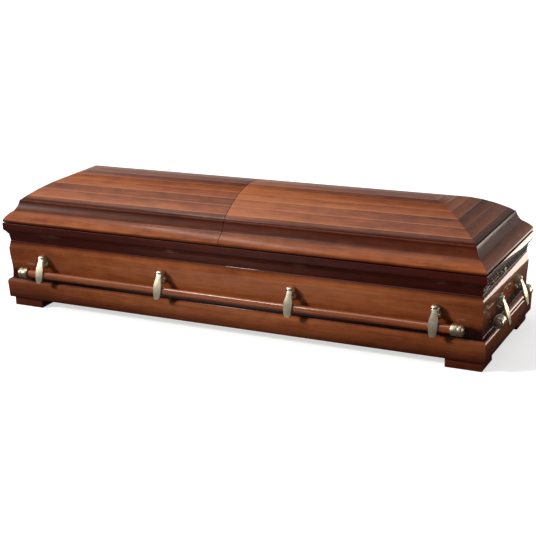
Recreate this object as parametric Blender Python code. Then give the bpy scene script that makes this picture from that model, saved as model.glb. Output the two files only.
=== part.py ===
"""A two-lid hardwood funeral casket with swing-bar handles.

Metres, +Z up. The origin is on the floor at the middle of the casket. The long front faces -Y,
the head end is at -X and the foot end at +X.

Most sections are drawn as (inset, height) pairs. The inset is measured inwards from the nose of the
lid moulding, the widest line of the lids, so the same section serves the long sides and the ends.
"""
import math

import bmesh
import bpy
from mathutils import Matrix, Vector

# Overall plan, measured at the nose of the lid moulding
LENGTH = 2.060
WIDTH = 0.612
LID_SPLIT_X = -0.017

# Clearance between pieces that touch, and between the two lids
JOINT_GAP = 0.0003
SAME_POINT = 0.000001
LID_END_GAP = 0.0024

# Heights of the parts of the box
FOOT_HEIGHT = 0.0377
BASE_HEIGHT = 0.0825
PANEL_SHOWING = 0.161
RIM_HEIGHT = 0.0775
PARTING_GAP = 0.0026
LID_MOULDING_HEIGHT = 0.0961
CROWN_RISE = 0.0857

# Feet
FOOT_INSET = 0.0145
FOOT_LENGTH = 0.138
FOOT_WIDTH = 0.125
FOOT_CHAMFER = 0.002

# Bottom board and panels
BOARD_THICKNESS = 0.018
PANEL_BACK_INSET = 0.036
PANEL_SEAT_INSET = 0.0160
PANEL_FOOT_INSET = 0.0144
PANEL_WAIST_INSET = 0.0162
PANEL_WAIST_UP = 0.032
PANEL_BELLY_INSET = 0.0110
PANEL_BELLY_UP = 0.126
PANEL_TOP_INSET = 0.0165
PANEL_QUIRK = 0.0020

# Base moulding
BASE_PROUD = 0.0025
BASE_BOTTOM_CHAMFER = 0.0025
BASE_NOSE_DROP = 0.0170
BASE_NOSE_WIDTH = 0.0140

# Rim moulding
RIM_PROUD = 0.0020
RIM_FASCIA = 0.0225
RIM_OVOLO_INSET = 0.0045
RIM_OVOLO_DROP = 0.0120
RIM_OVOLO_BULGE = 0.0018
RIM_BAND_INSET = 0.0140
RIM_BAND_DROP = 0.0150
RIM_BAND_BACK = 0.0038
RIM_BACK_INSET = 0.040

# Lid moulding
LID_LIP_INSET = 0.0045
LID_LIP_RISE = 0.0056
LID_NOSE_HEIGHT = 0.0060
LID_BAND_WIDTH = 0.0350
LID_BAND_RISE = 0.0335
LID_BAND_BULGE = 0.0028
LID_COVE_WIDTH = 0.0190
LID_COVE_RISE = 0.0405
LID_COVE_HOLLOW = 0.0030
LID_BEAD_WIDTH = 0.0040
LID_BEAD_BULGE = 0.0014
LID_GROOVE_WIDTH = 0.0026
LID_GROOVE_DEPTH = 0.0026
LID_FILLET_RISE = 0.0065
LID_SEAT_WIDTH = 0.020
LID_SEAT_DEPTH = 0.018
LID_WALL = 0.026
LID_HEADER_THICKNESS = 0.018
LID_HEADER_OVERLAP = 0.002

# Crown
CROWN_SHELL = 0.016
CROWN_EDGE_WIDTH = 0.0184
CROWN_STEPS = 8
CROWN_SMOOTH_ANGLE = math.radians(25)

# Hinge along the back
HINGE_PIN_RADIUS = 0.0015
HINGE_BORE_CLEARANCE = 0.0004
HINGE_KNUCKLE_RADIUS = 0.0035
HINGE_LEAF_WIDTH = 0.024
HINGE_LEAF_THICKNESS = 0.0008
HINGE_END_MARGIN = 0.100
HINGE_KNUCKLES = 3
HINGE_END_PLAY = 0.0006
DRILL_OVERRUN = 0.010

# Handles: where the ears and arms stand, and the line of the pivot and the bar
SIDE_ARM_COUNT = 4
SIDE_ARM_INSET = 0.1830
END_ARM_COUNT = 2
END_ARM_INSET = 0.186
PIVOT_OUT = 0.0
PIVOT_UP = 0.0950
BAR_OUT = 0.0120
BAR_DROP = 0.0585
BAR_RADIUS = 0.015
SIDE_BAR_OVERHANG = 0.0650
END_BAR_OVERHANG = 0.0435

# Ear
EAR_HALF_WIDTH = 0.0185
EAR_REACH = 0.0130
EAR_SPRING = 0.0060
EAR_RISE = 0.0150
EAR_SKIRT = 0.0075
EAR_PLATE_DROP = 0.0290
EAR_PLATE_THICKNESS = 0.0040
EAR_PLATE_SHOULDER = 0.0240
EAR_PLATE_FOOT = 0.0140
EAR_SKIRT_REACH = 0.0105
EAR_SQUARENESS = 3.0
EAR_SIDE_FALL = 0.75
EAR_FRONT_FALL = 0.40
EAR_DOME_ANGLE = math.radians(78)
EAR_BEHIND = 0.0040
EAR_BALL_RADIUS = 0.0058
EAR_BALL_ACROSS = 0.0130
EAR_BALL_DROP = 0.0225
EAR_BALL_PROUD = 0.0040
EAR_PIN_RADIUS = 0.0035
EAR_SLOT_CLEARANCE = 0.0015
EAR_SLOT_DEPTH = 0.030
EAR_SLOT_RISE = 0.0040

# Arm
ARM_KNUCKLE_RADIUS = 0.0100
ARM_KNUCKLE_WIDTH = 0.0215
ARM_BORE_CLEARANCE = 0.0005
ARM_THICKNESS = 0.0045
ARM_CHAMFER = 0.0016
ARM_SHOULDER_OUT = 0.0058
ARM_SHOULDER_UP = 0.0050
ARM_NECK_OUT = 0.0132
ARM_NECK_DROP = 0.0100
ARM_NECK_WIDTH = 0.0235
ARM_LEAF_WIDTH = 0.0365
ARM_LEAF_DROP = 0.0345
ARM_LEAF_OUT = 0.0225
ARM_WAIST_WIDTH = 0.0342
ARM_CHEEK_WIDTH = 0.0290
ARM_CHEEK_DROP = 0.0770
ARM_TIP_WIDTH = 0.0160
ARM_TIP_DROP = 0.0885
ARM_TIP_FLARE = 0.0060
ARM_SADDLE_WIDTH = 0.0240
ARM_SADDLE_WALL = 0.0035
ARM_SADDLE_REACH = math.radians(60)

# Tip
TIP_LENGTH = 0.0415
TIP_RADIUS = 0.0220
TIP_GROOVE_DEPTH = 0.0030
TIP_GROOVE_WIDTH = 0.0036
TIP_CAP_LENGTH = 0.0155
TIP_ROUND = 0.0050
TIP_DOME_RADIUS = 0.0130
TIP_DOME_RISE = 0.0030

# Numbers of sides of the round pieces
PIN_SIDES = 8
KNUCKLE_SIDES = 10
BALL_SIDES = 6
BAR_SIDES = 14
TIP_SIDES = 12
EAR_STEPS = 5
EAR_LEVELS = 3
SLOT_STEPS = 5
SADDLE_STEPS = 4
CAST_SMOOTH_ANGLE = math.radians(36)

# Levels that follow from the heights
BASE_BOTTOM = FOOT_HEIGHT + JOINT_GAP
BASE_TOP = BASE_BOTTOM + BASE_HEIGHT
BOARD_TOP = BASE_BOTTOM + BOARD_THICKNESS
PANEL_BOTTOM = BOARD_TOP + JOINT_GAP
PANEL_TOP = BASE_TOP + PANEL_SHOWING
RIM_BOTTOM = PANEL_TOP + JOINT_GAP
RIM_TOP = RIM_BOTTOM + RIM_HEIGHT
LID_BOTTOM = RIM_TOP + PARTING_GAP
LID_MOULDING_TOP = LID_BOTTOM + LID_MOULDING_HEIGHT
CROWN_BOTTOM = LID_MOULDING_TOP + JOINT_GAP
CROWN_TOP = CROWN_BOTTOM + CROWN_RISE
HINGE_Y = WIDTH / 2 + RIM_PROUD + HINGE_KNUCKLE_RADIUS + JOINT_GAP
HINGE_Z = (RIM_TOP + LID_BOTTOM) / 2
PIVOT_HEIGHT = BASE_TOP + PIVOT_UP

# The four sides: half the plan size outwards, half the run along the side, and the turn about +Z
SIDES = {
    "front": (WIDTH / 2, LENGTH / 2, 0.0),
    "foot": (LENGTH / 2, WIDTH / 2, math.pi / 2),
    "back": (WIDTH / 2, LENGTH / 2, math.pi),
    "head": (LENGTH / 2, WIDTH / 2, -math.pi / 2),
}


def clear_scene():
    for thing in list(bpy.data.objects):
        bpy.data.objects.remove(thing, do_unlink=True)


def make_material(name, colour, roughness, metallic):
    material = bpy.data.materials.new(name)
    material.use_nodes = True
    shader = material.node_tree.nodes["Principled BSDF"]
    shader.inputs["Base Color"].default_value = (*colour, 1.0)
    shader.inputs["Roughness"].default_value = roughness
    shader.inputs["Metallic"].default_value = metallic
    return material


def make_object(name, mesh, material, parent=None, location=(0, 0, 0), turn=0.0):
    """Links an object that carries a mesh, placed in the frame of its parent."""
    thing = bpy.data.objects.new(name, mesh)
    bpy.context.collection.objects.link(thing)
    if not mesh.materials:
        mesh.materials.append(material)
    thing.parent = parent
    thing.location = location
    thing.rotation_euler = (0, 0, turn)
    return thing


def make_empty(name, location):
    empty = bpy.data.objects.new(name, None)
    bpy.context.collection.objects.link(empty)
    empty.location = location
    return empty


def finish_mesh(work, name, smooth_angle=None):
    """Turns the faces outwards and writes a bmesh to a new mesh."""
    bmesh.ops.remove_doubles(work, verts=work.verts, dist=SAME_POINT)
    bmesh.ops.recalc_face_normals(work, faces=work.faces)
    mesh = bpy.data.meshes.new(name)
    work.to_mesh(mesh)
    work.free()
    if smooth_angle is not None:
        mesh.shade_smooth()
        mesh.set_sharp_from_angle(angle=smooth_angle)
    return mesh


def loft(name, rings, closed_ends=True, smooth_angle=None):
    """Joins rings of equal length by quads and caps both ends."""
    work = bmesh.new()
    loops = [[work.verts.new(point) for point in ring] for ring in rings]
    for lower, upper in zip(loops, loops[1:]):
        for i in range(len(lower)):
            j = (i + 1) % len(lower)
            work.faces.new((lower[i], lower[j], upper[j], upper[i]))
    if closed_ends:
        work.faces.new(loops[0])
        work.faces.new(loops[-1])
    return finish_mesh(work, name, smooth_angle)


def combine(mesh, other, operation):
    """Applies one exact Boolean to a mesh and returns the result as a new mesh."""
    target = bpy.data.objects.new("target", mesh)
    tool = bpy.data.objects.new("tool", other)
    bpy.context.collection.objects.link(target)
    bpy.context.collection.objects.link(tool)
    boolean = target.modifiers.new("boolean", "BOOLEAN")
    boolean.operation = operation
    boolean.solver = "EXACT"
    boolean.object = tool
    bpy.context.view_layer.update()
    evaluated = target.evaluated_get(bpy.context.evaluated_depsgraph_get())
    result = bpy.data.meshes.new_from_object(evaluated)
    bpy.data.objects.remove(target, do_unlink=True)
    bpy.data.objects.remove(tool, do_unlink=True)
    return result


def smooth(mesh, angle):
    mesh.shade_smooth()
    mesh.set_sharp_from_angle(angle=angle)
    return mesh


def arc(start, end, bulge, steps):
    """Points of a circular arc after its start, up to and with its end.

    A positive bulge stands to the left of the way from start to end, a negative one to the right.
    """
    start, end = Vector(start), Vector(end)
    chord = end - start
    half = chord.length / 2
    radius = (half * half + bulge * bulge) / (2 * abs(bulge))
    side = Vector((-chord.y, chord.x)).normalized() * math.copysign(1, bulge)
    centre = (start + end) / 2 - side * (radius - abs(bulge))
    sweep = 2 * math.asin(min(1.0, half / radius)) * -math.copysign(1, bulge)
    points = []
    for k in range(1, steps + 1):
        turn = Matrix.Rotation(sweep * k / steps, 2)
        points.append(tuple(centre + turn @ (start - centre)))
    return points


def cylinder(radius, start, end, sides):
    """A closed cylinder between two points, its flats measured at the radius."""
    work = bmesh.new()
    axis = Vector(end) - Vector(start)
    turn = axis.to_track_quat("Z", "Y").to_matrix().to_4x4()
    place = Matrix.Translation((Vector(start) + Vector(end)) / 2) @ turn
    bmesh.ops.create_cone(work, cap_ends=True, segments=sides, radius1=radius, radius2=radius,
                          depth=axis.length, matrix=place)
    return finish_mesh(work, "cylinder")


def prism(outline, start_x, end_x):
    """An outline of (y, z) points carried along X."""
    rings = [[(x, y, z) for y, z in outline] for x in (start_x, end_x)]
    return loft("prism", rings)


# Sections of the box, each as (inset, height) points

def wave(low, high, steps):
    """Heights and insets on a smooth half wave from one level point to the next."""
    points = []
    for k in range(1, steps + 1):
        share = (1 - math.cos(math.pi * k / steps)) / 2
        height = low[1] + (high[1] - low[1]) * k / steps
        points.append((low[0] + (high[0] - low[0]) * share, height))
    return points


def panel_face():
    """The showing face of a panel from the base moulding up: in at the waist, out at the belly."""
    foot = (PANEL_FOOT_INSET, BASE_TOP + JOINT_GAP)
    waist = (PANEL_WAIST_INSET, BASE_TOP + PANEL_WAIST_UP)
    belly = (PANEL_BELLY_INSET, BASE_TOP + PANEL_BELLY_UP)
    top = (PANEL_TOP_INSET, PANEL_TOP - PANEL_QUIRK)
    return [foot] + wave(foot, waist, 2) + wave(waist, belly, 6) + wave(belly, top, 4)


def panel_section():
    face = panel_face()
    seat = [(PANEL_SEAT_INSET, PANEL_BOTTOM), (PANEL_SEAT_INSET, face[0][1])]
    top = [(PANEL_TOP_INSET + PANEL_QUIRK, PANEL_TOP), (PANEL_BACK_INSET, PANEL_TOP)]
    return seat + face + top + [(PANEL_BACK_INSET, PANEL_BOTTOM)]


def base_section():
    back = PANEL_SEAT_INSET - JOINT_GAP
    nose = (-BASE_PROUD, BASE_TOP - BASE_NOSE_DROP)
    shelf = (BASE_NOSE_WIDTH - BASE_PROUD, BASE_TOP)
    chord = math.hypot(shelf[0] - nose[0], shelf[1] - nose[1])
    bulge = chord * (math.sqrt(2) - 1) / 2
    chamfer = [(BASE_BOTTOM_CHAMFER, BASE_BOTTOM), (0.0, BASE_BOTTOM + BASE_BOTTOM_CHAMFER)]
    return chamfer + [nose] + arc(nose, shelf, bulge, 5) + [(back, BASE_TOP), (back, BASE_BOTTOM)]


def rim_section():
    edge = (-RIM_PROUD, RIM_TOP - RIM_FASCIA)
    ovolo = (RIM_OVOLO_INSET, edge[1] - RIM_OVOLO_DROP)
    band = (RIM_BAND_INSET, ovolo[1] - RIM_BAND_DROP)
    band_foot = (RIM_BAND_INSET + RIM_BAND_BACK, RIM_BOTTOM + PANEL_QUIRK)
    foot = (PANEL_TOP_INSET + PANEL_QUIRK, RIM_BOTTOM)
    face = [(-RIM_PROUD, RIM_TOP), edge] + arc(edge, ovolo, -RIM_OVOLO_BULGE, 3)
    return face + [band, band_foot, foot, (RIM_BACK_INSET, RIM_BOTTOM), (RIM_BACK_INSET, RIM_TOP)]


def lid_moulding_face():
    """The showing face of the lid moulding from its underside up to the crown's seat."""
    lip = (LID_LIP_INSET, LID_BOTTOM)
    nose = (0.0, LID_BOTTOM + LID_LIP_RISE)
    nose_top = (0.0, nose[1] + LID_NOSE_HEIGHT)
    band = (LID_BAND_WIDTH, nose_top[1] + LID_BAND_RISE)
    cove = (band[0] + LID_COVE_WIDTH, band[1] + LID_COVE_RISE)
    bead = (cove[0] + LID_BEAD_WIDTH, cove[1] + LID_BEAD_BULGE)
    groove = (bead[0] + LID_GROOVE_WIDTH / 2, bead[1] - LID_GROOVE_DEPTH)
    fillet = (bead[0] + LID_GROOVE_WIDTH, LID_MOULDING_TOP - LID_FILLET_RISE)
    crown = (fillet[0] + LID_FILLET_RISE, LID_MOULDING_TOP)
    face = [lip] + arc(lip, nose, LID_LIP_RISE / 4, 2) + [nose_top]
    face += arc(nose_top, band, LID_BAND_BULGE, 4) + arc(band, cove, -LID_COVE_HOLLOW, 5)
    return face + arc(cove, bead, LID_BEAD_BULGE, 2) + [groove, fillet, crown]


def lid_moulding_back(ease=0.0):
    """The hidden back of the lid moulding, from its seat down to its underside."""
    crown = lid_moulding_face()[-1]
    seat = crown[0] + LID_SEAT_WIDTH - ease
    knee = LID_BAND_WIDTH + LID_WALL - ease
    knee_height = LID_BOTTOM + LID_LIP_RISE + LID_NOSE_HEIGHT + LID_BAND_RISE
    heel = LID_LIP_INSET + LID_WALL - ease
    heel_height = LID_BOTTOM + LID_LIP_RISE + LID_NOSE_HEIGHT
    return [(seat, crown[1]), (seat, crown[1] - LID_SEAT_DEPTH), (knee, knee_height),
            (heel, heel_height), (heel, LID_BOTTOM)]


def crown_profile():
    """The outside of the vault from its edge to the ridge: a parabola level at the top."""
    edge = lid_moulding_face()[-1][0] + JOINT_GAP
    span = WIDTH / 2 - edge
    points = []
    for k in range(CROWN_STEPS + 1):
        share = k / CROWN_STEPS
        points.append((edge + span * share, CROWN_BOTTOM + CROWN_RISE * share * (2 - share)))
    return points


def crown_inside():
    """The inside of the vault: the same curve one shell thickness in."""
    outside = crown_profile()
    edge = outside[0][0]
    span = WIDTH / 2 - edge
    start = edge + CROWN_EDGE_WIDTH
    points = []
    for k in range(CROWN_STEPS + 1):
        inset = start + (WIDTH / 2 - start) * k / CROWN_STEPS
        share = (inset - edge) / span
        slope = 2 * CROWN_RISE * (1 - share) / span
        drop = CROWN_SHELL * math.sqrt(1 + slope * slope)
        points.append((inset, CROWN_BOTTOM + CROWN_RISE * share * (2 - share) - drop))
    points[0] = (start, CROWN_BOTTOM)
    return points


# The box

def mitred_run(name, section, side, material):
    """One straight length of a section along a side, cut at 45 degrees at both ends."""
    out, half, turn = SIDES[side]
    cut = JOINT_GAP / 2 * math.sqrt(2)
    rings = []
    for end in (-1, 1):
        rings.append([(end * (half - inset - cut), inset - out, height) for inset, height in section])
    return make_object(name, loft(name, rings), material, turn=turn)


def build_box(wood, board_wood):
    inset = PANEL_SEAT_INSET
    board = bmesh.new()
    bmesh.ops.create_cube(board, size=1.0)
    size = (LENGTH - 2 * inset, WIDTH - 2 * inset, BOARD_THICKNESS)
    bmesh.ops.scale(board, vec=size, verts=board.verts)
    middle = (0, 0, BASE_BOTTOM + BOARD_THICKNESS / 2)
    make_object("bottom_board", finish_mesh(board, "bottom_board"), board_wood, location=middle)
    names = {"front": "side_panel_front", "back": "side_panel_back",
             "head": "end_panel_head", "foot": "end_panel_foot"}
    for side in SIDES:
        mitred_run(names[side], panel_section(), side, wood)
        mitred_run("rim_" + side, rim_section(), side, wood)
        mitred_run("base_" + side, base_section(), side, wood)


def build_feet(wood):
    work = bmesh.new()
    bmesh.ops.create_cube(work, size=1.0)
    bmesh.ops.scale(work, vec=(FOOT_LENGTH, FOOT_WIDTH, FOOT_HEIGHT), verts=work.verts)
    mesh = finish_mesh(work, "foot")
    for end, end_name in ((-1, "head"), (1, "foot")):
        for face, face_name in ((-1, "front"), (1, "back")):
            x = end * (LENGTH / 2 - FOOT_INSET - FOOT_LENGTH / 2)
            y = face * (WIDTH / 2 - FOOT_INSET - FOOT_WIDTH / 2)
            middle = (x, y, FOOT_HEIGHT / 2)
            foot = make_object(f"foot_{face_name}_{end_name}", mesh, wood, location=middle)
            bevel = foot.modifiers.new("arris", "BEVEL")
            bevel.width = FOOT_CHAMFER
            bevel.segments = 1


# The lids

def around_lid(inset, end, start_x):
    """The corners of the U that a lid's section follows: front, round the end, and back."""
    far = end * (LENGTH / 2 - inset)
    across = WIDTH / 2 - inset
    return [(start_x, -across), (far, -across), (far, across), (start_x, across)]


def lid_moulding_mesh(name, end, split):
    """The moulding round three sides of a lid, and the plain rail that closes it at the split."""
    section = lid_moulding_face() + lid_moulding_back()
    rings = []
    for corner in range(4):
        ring = []
        for inset, height in section:
            x, y = around_lid(inset, end, split)[corner]
            ring.append((x, y, height))
        rings.append(ring)
    frame = loft(name, rings)
    back = lid_moulding_back(LID_HEADER_OVERLAP)
    edge = [(WIDTH / 2 - inset, height) for inset, height in back]
    edge[0] = (edge[0][0], edge[0][1] - LID_HEADER_OVERLAP)
    edge[-1] = (edge[-1][0], edge[-1][1] + LID_HEADER_OVERLAP)
    outline = edge + [(-y, z) for y, z in reversed(edge)]
    rail = prism(outline, split, split + end * LID_HEADER_THICKNESS)
    return combine(frame, rail, "UNION")


def crown_mesh(name, end, split):
    """The vault of a lid: hipped at the end of the casket, closed by a board at the split."""
    work = bmesh.new()

    def skin(profile, start_x):
        rows = []
        for inset, height in profile[:-1]:
            rows.append([work.verts.new((x, y, height)) for x, y in around_lid(inset, end, start_x)])
        ridge_height = profile[-1][1]
        near = work.verts.new((start_x, 0, ridge_height))
        far = work.verts.new((end * (LENGTH - WIDTH) / 2, 0, ridge_height))
        rows.append([near, far, far, near])
        for lower, upper in zip(rows, rows[1:]):
            for k in range(3):
                corners = [lower[k], lower[k + 1], upper[k + 1], upper[k]]
                face = [v for n, v in enumerate(corners) if v not in corners[:n]]
                work.faces.new(face)
        return rows

    outside = skin(crown_profile(), split)
    inside = skin(crown_inside(), split + end * LID_HEADER_THICKNESS)
    for k in range(3):
        work.faces.new((outside[0][k], outside[0][k + 1], inside[0][k + 1], inside[0][k]))
    work.faces.new((outside[0][0], inside[0][0], inside[0][3], outside[0][3]))
    outer_end = [row[0] for row in outside] + [row[3] for row in reversed(outside[:-1])]
    work.faces.new(outer_end)
    inner_end = [row[0] for row in inside] + [row[3] for row in reversed(inside[:-1])]
    work.faces.new(inner_end)
    return finish_mesh(work, name, CROWN_SMOOTH_ANGLE)


def hinge_span(end):
    """Where the hinge of one lid starts and ends along X."""
    inner, outer = LID_SPLIT_X + end * HINGE_END_MARGIN, end * (LENGTH / 2 - HINGE_END_MARGIN)
    return min(inner, outer), max(inner, outer)


def knuckle_spans(end, own_first):
    """The stretches of one lid's hinge that belong to one of its two leaves."""
    start, stop = hinge_span(end)
    step = (stop - start) / HINGE_KNUCKLES
    first = 0 if own_first else 1
    spans = []
    for k in range(first, HINGE_KNUCKLES, 2):
        spans.append((start + k * step + HINGE_END_PLAY, start + (k + 1) * step - HINGE_END_PLAY))
    return spans


def leaf_mesh(name, spans, start, stop, floor):
    """A hinge leaf: a comb of plate whose teeth run into its knuckles."""
    shoulder = HINGE_Y - HINGE_KNUCKLE_RADIUS - HINGE_BORE_CLEARANCE
    back = WIDTH / 2 - HINGE_LEAF_WIDTH
    outline = [(start, back), (start, shoulder)]
    for low, high in spans:
        outline += [(low, shoulder), (low, HINGE_Y), (high, HINGE_Y), (high, shoulder)]
    outline += [(stop, shoulder), (stop, back)]
    tidy = []
    for point in outline:
        if not tidy or (Vector(point) - Vector(tidy[-1])).length > SAME_POINT:
            tidy.append(point)
    rings = [[(x, y, floor + rise) for x, y in tidy] for rise in (0, HINGE_LEAF_THICKNESS)]
    leaf = loft(name, rings)
    for low, high in spans:
        ends = ((low, HINGE_Y, HINGE_Z), (high, HINGE_Y, HINGE_Z))
        leaf = combine(leaf, cylinder(HINGE_KNUCKLE_RADIUS, *ends, PIN_SIDES), "UNION")
    return leaf


def build_hinges(metal, lids):
    body_floor = RIM_TOP + JOINT_GAP
    lid_floor = LID_BOTTOM - JOINT_GAP - HINGE_LEAF_THICKNESS
    head = hinge_span(-1)
    foot = hinge_span(1)
    spans = knuckle_spans(-1, True) + knuckle_spans(1, True)
    body = leaf_mesh("hinge_leaf_body", spans, head[0], foot[1], body_floor)
    for start, stop in (head, foot):
        inset = HINGE_END_PLAY * 2
        ends = ((start + inset, HINGE_Y, HINGE_Z), (stop - inset, HINGE_Y, HINGE_Z))
        body = combine(body, cylinder(HINGE_PIN_RADIUS, *ends, PIN_SIDES), "UNION")
    make_object("hinge_leaf_body", body, metal)
    bore = (HINGE_PIN_RADIUS + HINGE_BORE_CLEARANCE) / math.cos(math.pi / PIN_SIDES)
    for end, name in ((-1, "head_lid"), (1, "foot_lid")):
        start, stop = hinge_span(end)
        leaf = leaf_mesh(name + "_hinge_leaf", knuckle_spans(end, False), start, stop, lid_floor)
        ends = ((start - DRILL_OVERRUN, HINGE_Y, HINGE_Z), (stop + DRILL_OVERRUN, HINGE_Y, HINGE_Z))
        drill = cylinder(bore, *ends, PIN_SIDES)
        leaf = combine(leaf, drill, "DIFFERENCE")
        leaf.transform(Matrix.Translation((0, -HINGE_Y, -HINGE_Z)))
        make_object(name + "_hinge_leaf", leaf, metal, parent=lids[name])


def build_lids(wood):
    lids = {}
    for end, name in ((-1, "head_lid"), (1, "foot_lid")):
        pivot = make_empty(name + "_pivot", (0, HINGE_Y, HINGE_Z))
        to_pivot = Matrix.Translation((0, -HINGE_Y, -HINGE_Z))
        split = LID_SPLIT_X + end * LID_END_GAP / 2
        moulding = lid_moulding_mesh(name + "_moulding", end, split)
        crown = crown_mesh(name + "_crown", end, split)
        for part, mesh in (("_moulding", moulding), ("_crown", crown)):
            mesh.transform(to_pivot)
            make_object(name + part, mesh, wood, parent=pivot)
        lids[name] = pivot
    return lids


# The handles. Ears and arms are drawn about the pivot: X along the wall, -Y outwards, +Z up.

def panel_inset_at(height):
    """The inset of the panel's face at a height, along its straight facets."""
    face = panel_face()
    for low, high in zip(face, face[1:]):
        if low[1] <= height <= high[1]:
            share = (height - low[1]) / (high[1] - low[1])
            return low[0] + (high[0] - low[0]) * share
    return face[-1][0]


def ear_ring(height, half_width, reach, wall):
    """One level of the ear: a squared half ellipse in plan, closed straight behind the wall's face."""
    power = 2 / EAR_SQUARENESS
    ring = [(half_width, wall + EAR_BEHIND, height)]
    for k in range(EAR_STEPS + 1):
        angle = math.pi * k / EAR_STEPS
        across = math.copysign(abs(math.cos(angle)) ** power, math.cos(angle))
        out = max(math.sin(angle), 0.0) ** power
        ring.append((half_width * across, wall - (wall + reach) * out, height))
    return ring + [(-half_width, wall + EAR_BEHIND, height)]


def ear_mesh():
    wall = PANEL_WAIST_INSET + PIVOT_OUT
    thin = panel_inset_at(PIVOT_HEIGHT - EAR_PLATE_DROP / 2)
    plate_reach = EAR_PLATE_THICKNESS - (PANEL_BELLY_INSET + thin) / 2 - PIVOT_OUT
    rings = [
        ear_ring(-EAR_PLATE_DROP, EAR_PLATE_FOOT, plate_reach, wall),
        ear_ring(-EAR_PLATE_SHOULDER, EAR_HALF_WIDTH, plate_reach, wall),
        ear_ring(-EAR_SKIRT - JOINT_GAP, EAR_HALF_WIDTH, plate_reach, wall),
        ear_ring(-EAR_SKIRT, EAR_HALF_WIDTH, EAR_SKIRT_REACH, wall),
        ear_ring(EAR_SPRING, EAR_HALF_WIDTH, EAR_REACH, wall),
    ]
    for k in range(1, EAR_LEVELS + 1):
        angle = EAR_DOME_ANGLE * k / EAR_LEVELS
        height = EAR_SPRING + EAR_RISE * math.sin(angle)
        half_width = EAR_HALF_WIDTH * math.cos(angle) ** EAR_SIDE_FALL
        reach = (wall + EAR_REACH) * math.cos(angle) ** EAR_FRONT_FALL - wall
        rings.append(ear_ring(height, half_width, reach, wall))
    ear = loft("ear", rings)
    across = (EAR_BALL_ACROSS / EAR_HALF_WIDTH) ** EAR_SQUARENESS
    plate_face = wall - (wall + plate_reach) * (1 - across) ** (1 / EAR_SQUARENESS)
    for side in (-1, 1):
        ball = bmesh.new()
        place = Matrix.Translation((side * EAR_BALL_ACROSS, plate_face - EAR_BALL_PROUD, -EAR_BALL_DROP))
        bmesh.ops.create_uvsphere(ball, u_segments=BALL_SIDES, v_segments=BALL_SIDES // 2,
                                  radius=EAR_BALL_RADIUS, matrix=place)
        ear = combine(ear, finish_mesh(ball, "ball"), "UNION")
    return ear


def slot_mesh():
    """The room in the ear that the arm's knuckle and neck swing through."""
    radius = ARM_KNUCKLE_RADIUS + EAR_SLOT_CLEARANCE
    half = ARM_KNUCKLE_WIDTH / 2 + EAR_SLOT_CLEARANCE
    low = -max(EAR_SKIRT, radius) - EAR_SLOT_CLEARANCE
    outline = [(0.0, low), (-EAR_SLOT_DEPTH, low), (-EAR_SLOT_DEPTH, radius + EAR_SLOT_RISE)]
    for k in range(SLOT_STEPS + 1):
        angle = math.pi * k / SLOT_STEPS
        outline.append((radius * math.sin(angle), radius * math.cos(angle)))
    return prism(outline, -half, half)


def wall_mesh():
    """The wall that the ear is fitted to, with its clearance."""
    outline = []
    for inset, height in panel_face():
        outline.append((inset + PIVOT_OUT - JOINT_GAP, height - PIVOT_HEIGHT))
    back = PANEL_BACK_INSET + PIVOT_OUT
    outline += [(back, outline[-1][1]), (back, outline[0][1])]
    return prism(outline, -EAR_HALF_WIDTH * 2, EAR_HALF_WIDTH * 2)


def arm_stations():
    """Stations down the arm's leaf as (out, up, width) from the pivot."""
    half = ARM_THICKNESS / 2
    top = ARM_KNUCKLE_RADIUS - half
    bar_face = BAR_OUT + BAR_RADIUS + JOINT_GAP + half - PIVOT_OUT
    flare = ARM_TIP_FLARE / (ARM_TIP_DROP - BAR_DROP)
    return [
        (0.0, top, ARM_KNUCKLE_WIDTH),
        (ARM_SHOULDER_OUT, ARM_SHOULDER_UP, ARM_KNUCKLE_WIDTH),
        (ARM_NECK_OUT, -ARM_NECK_DROP, ARM_NECK_WIDTH),
        (ARM_LEAF_OUT, -ARM_LEAF_DROP, ARM_LEAF_WIDTH),
        (bar_face, -BAR_DROP, ARM_WAIST_WIDTH),
        (bar_face + flare * (ARM_CHEEK_DROP - BAR_DROP), -ARM_CHEEK_DROP, ARM_CHEEK_WIDTH),
        (bar_face + ARM_TIP_FLARE, -ARM_TIP_DROP, ARM_TIP_WIDTH),
    ]


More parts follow.
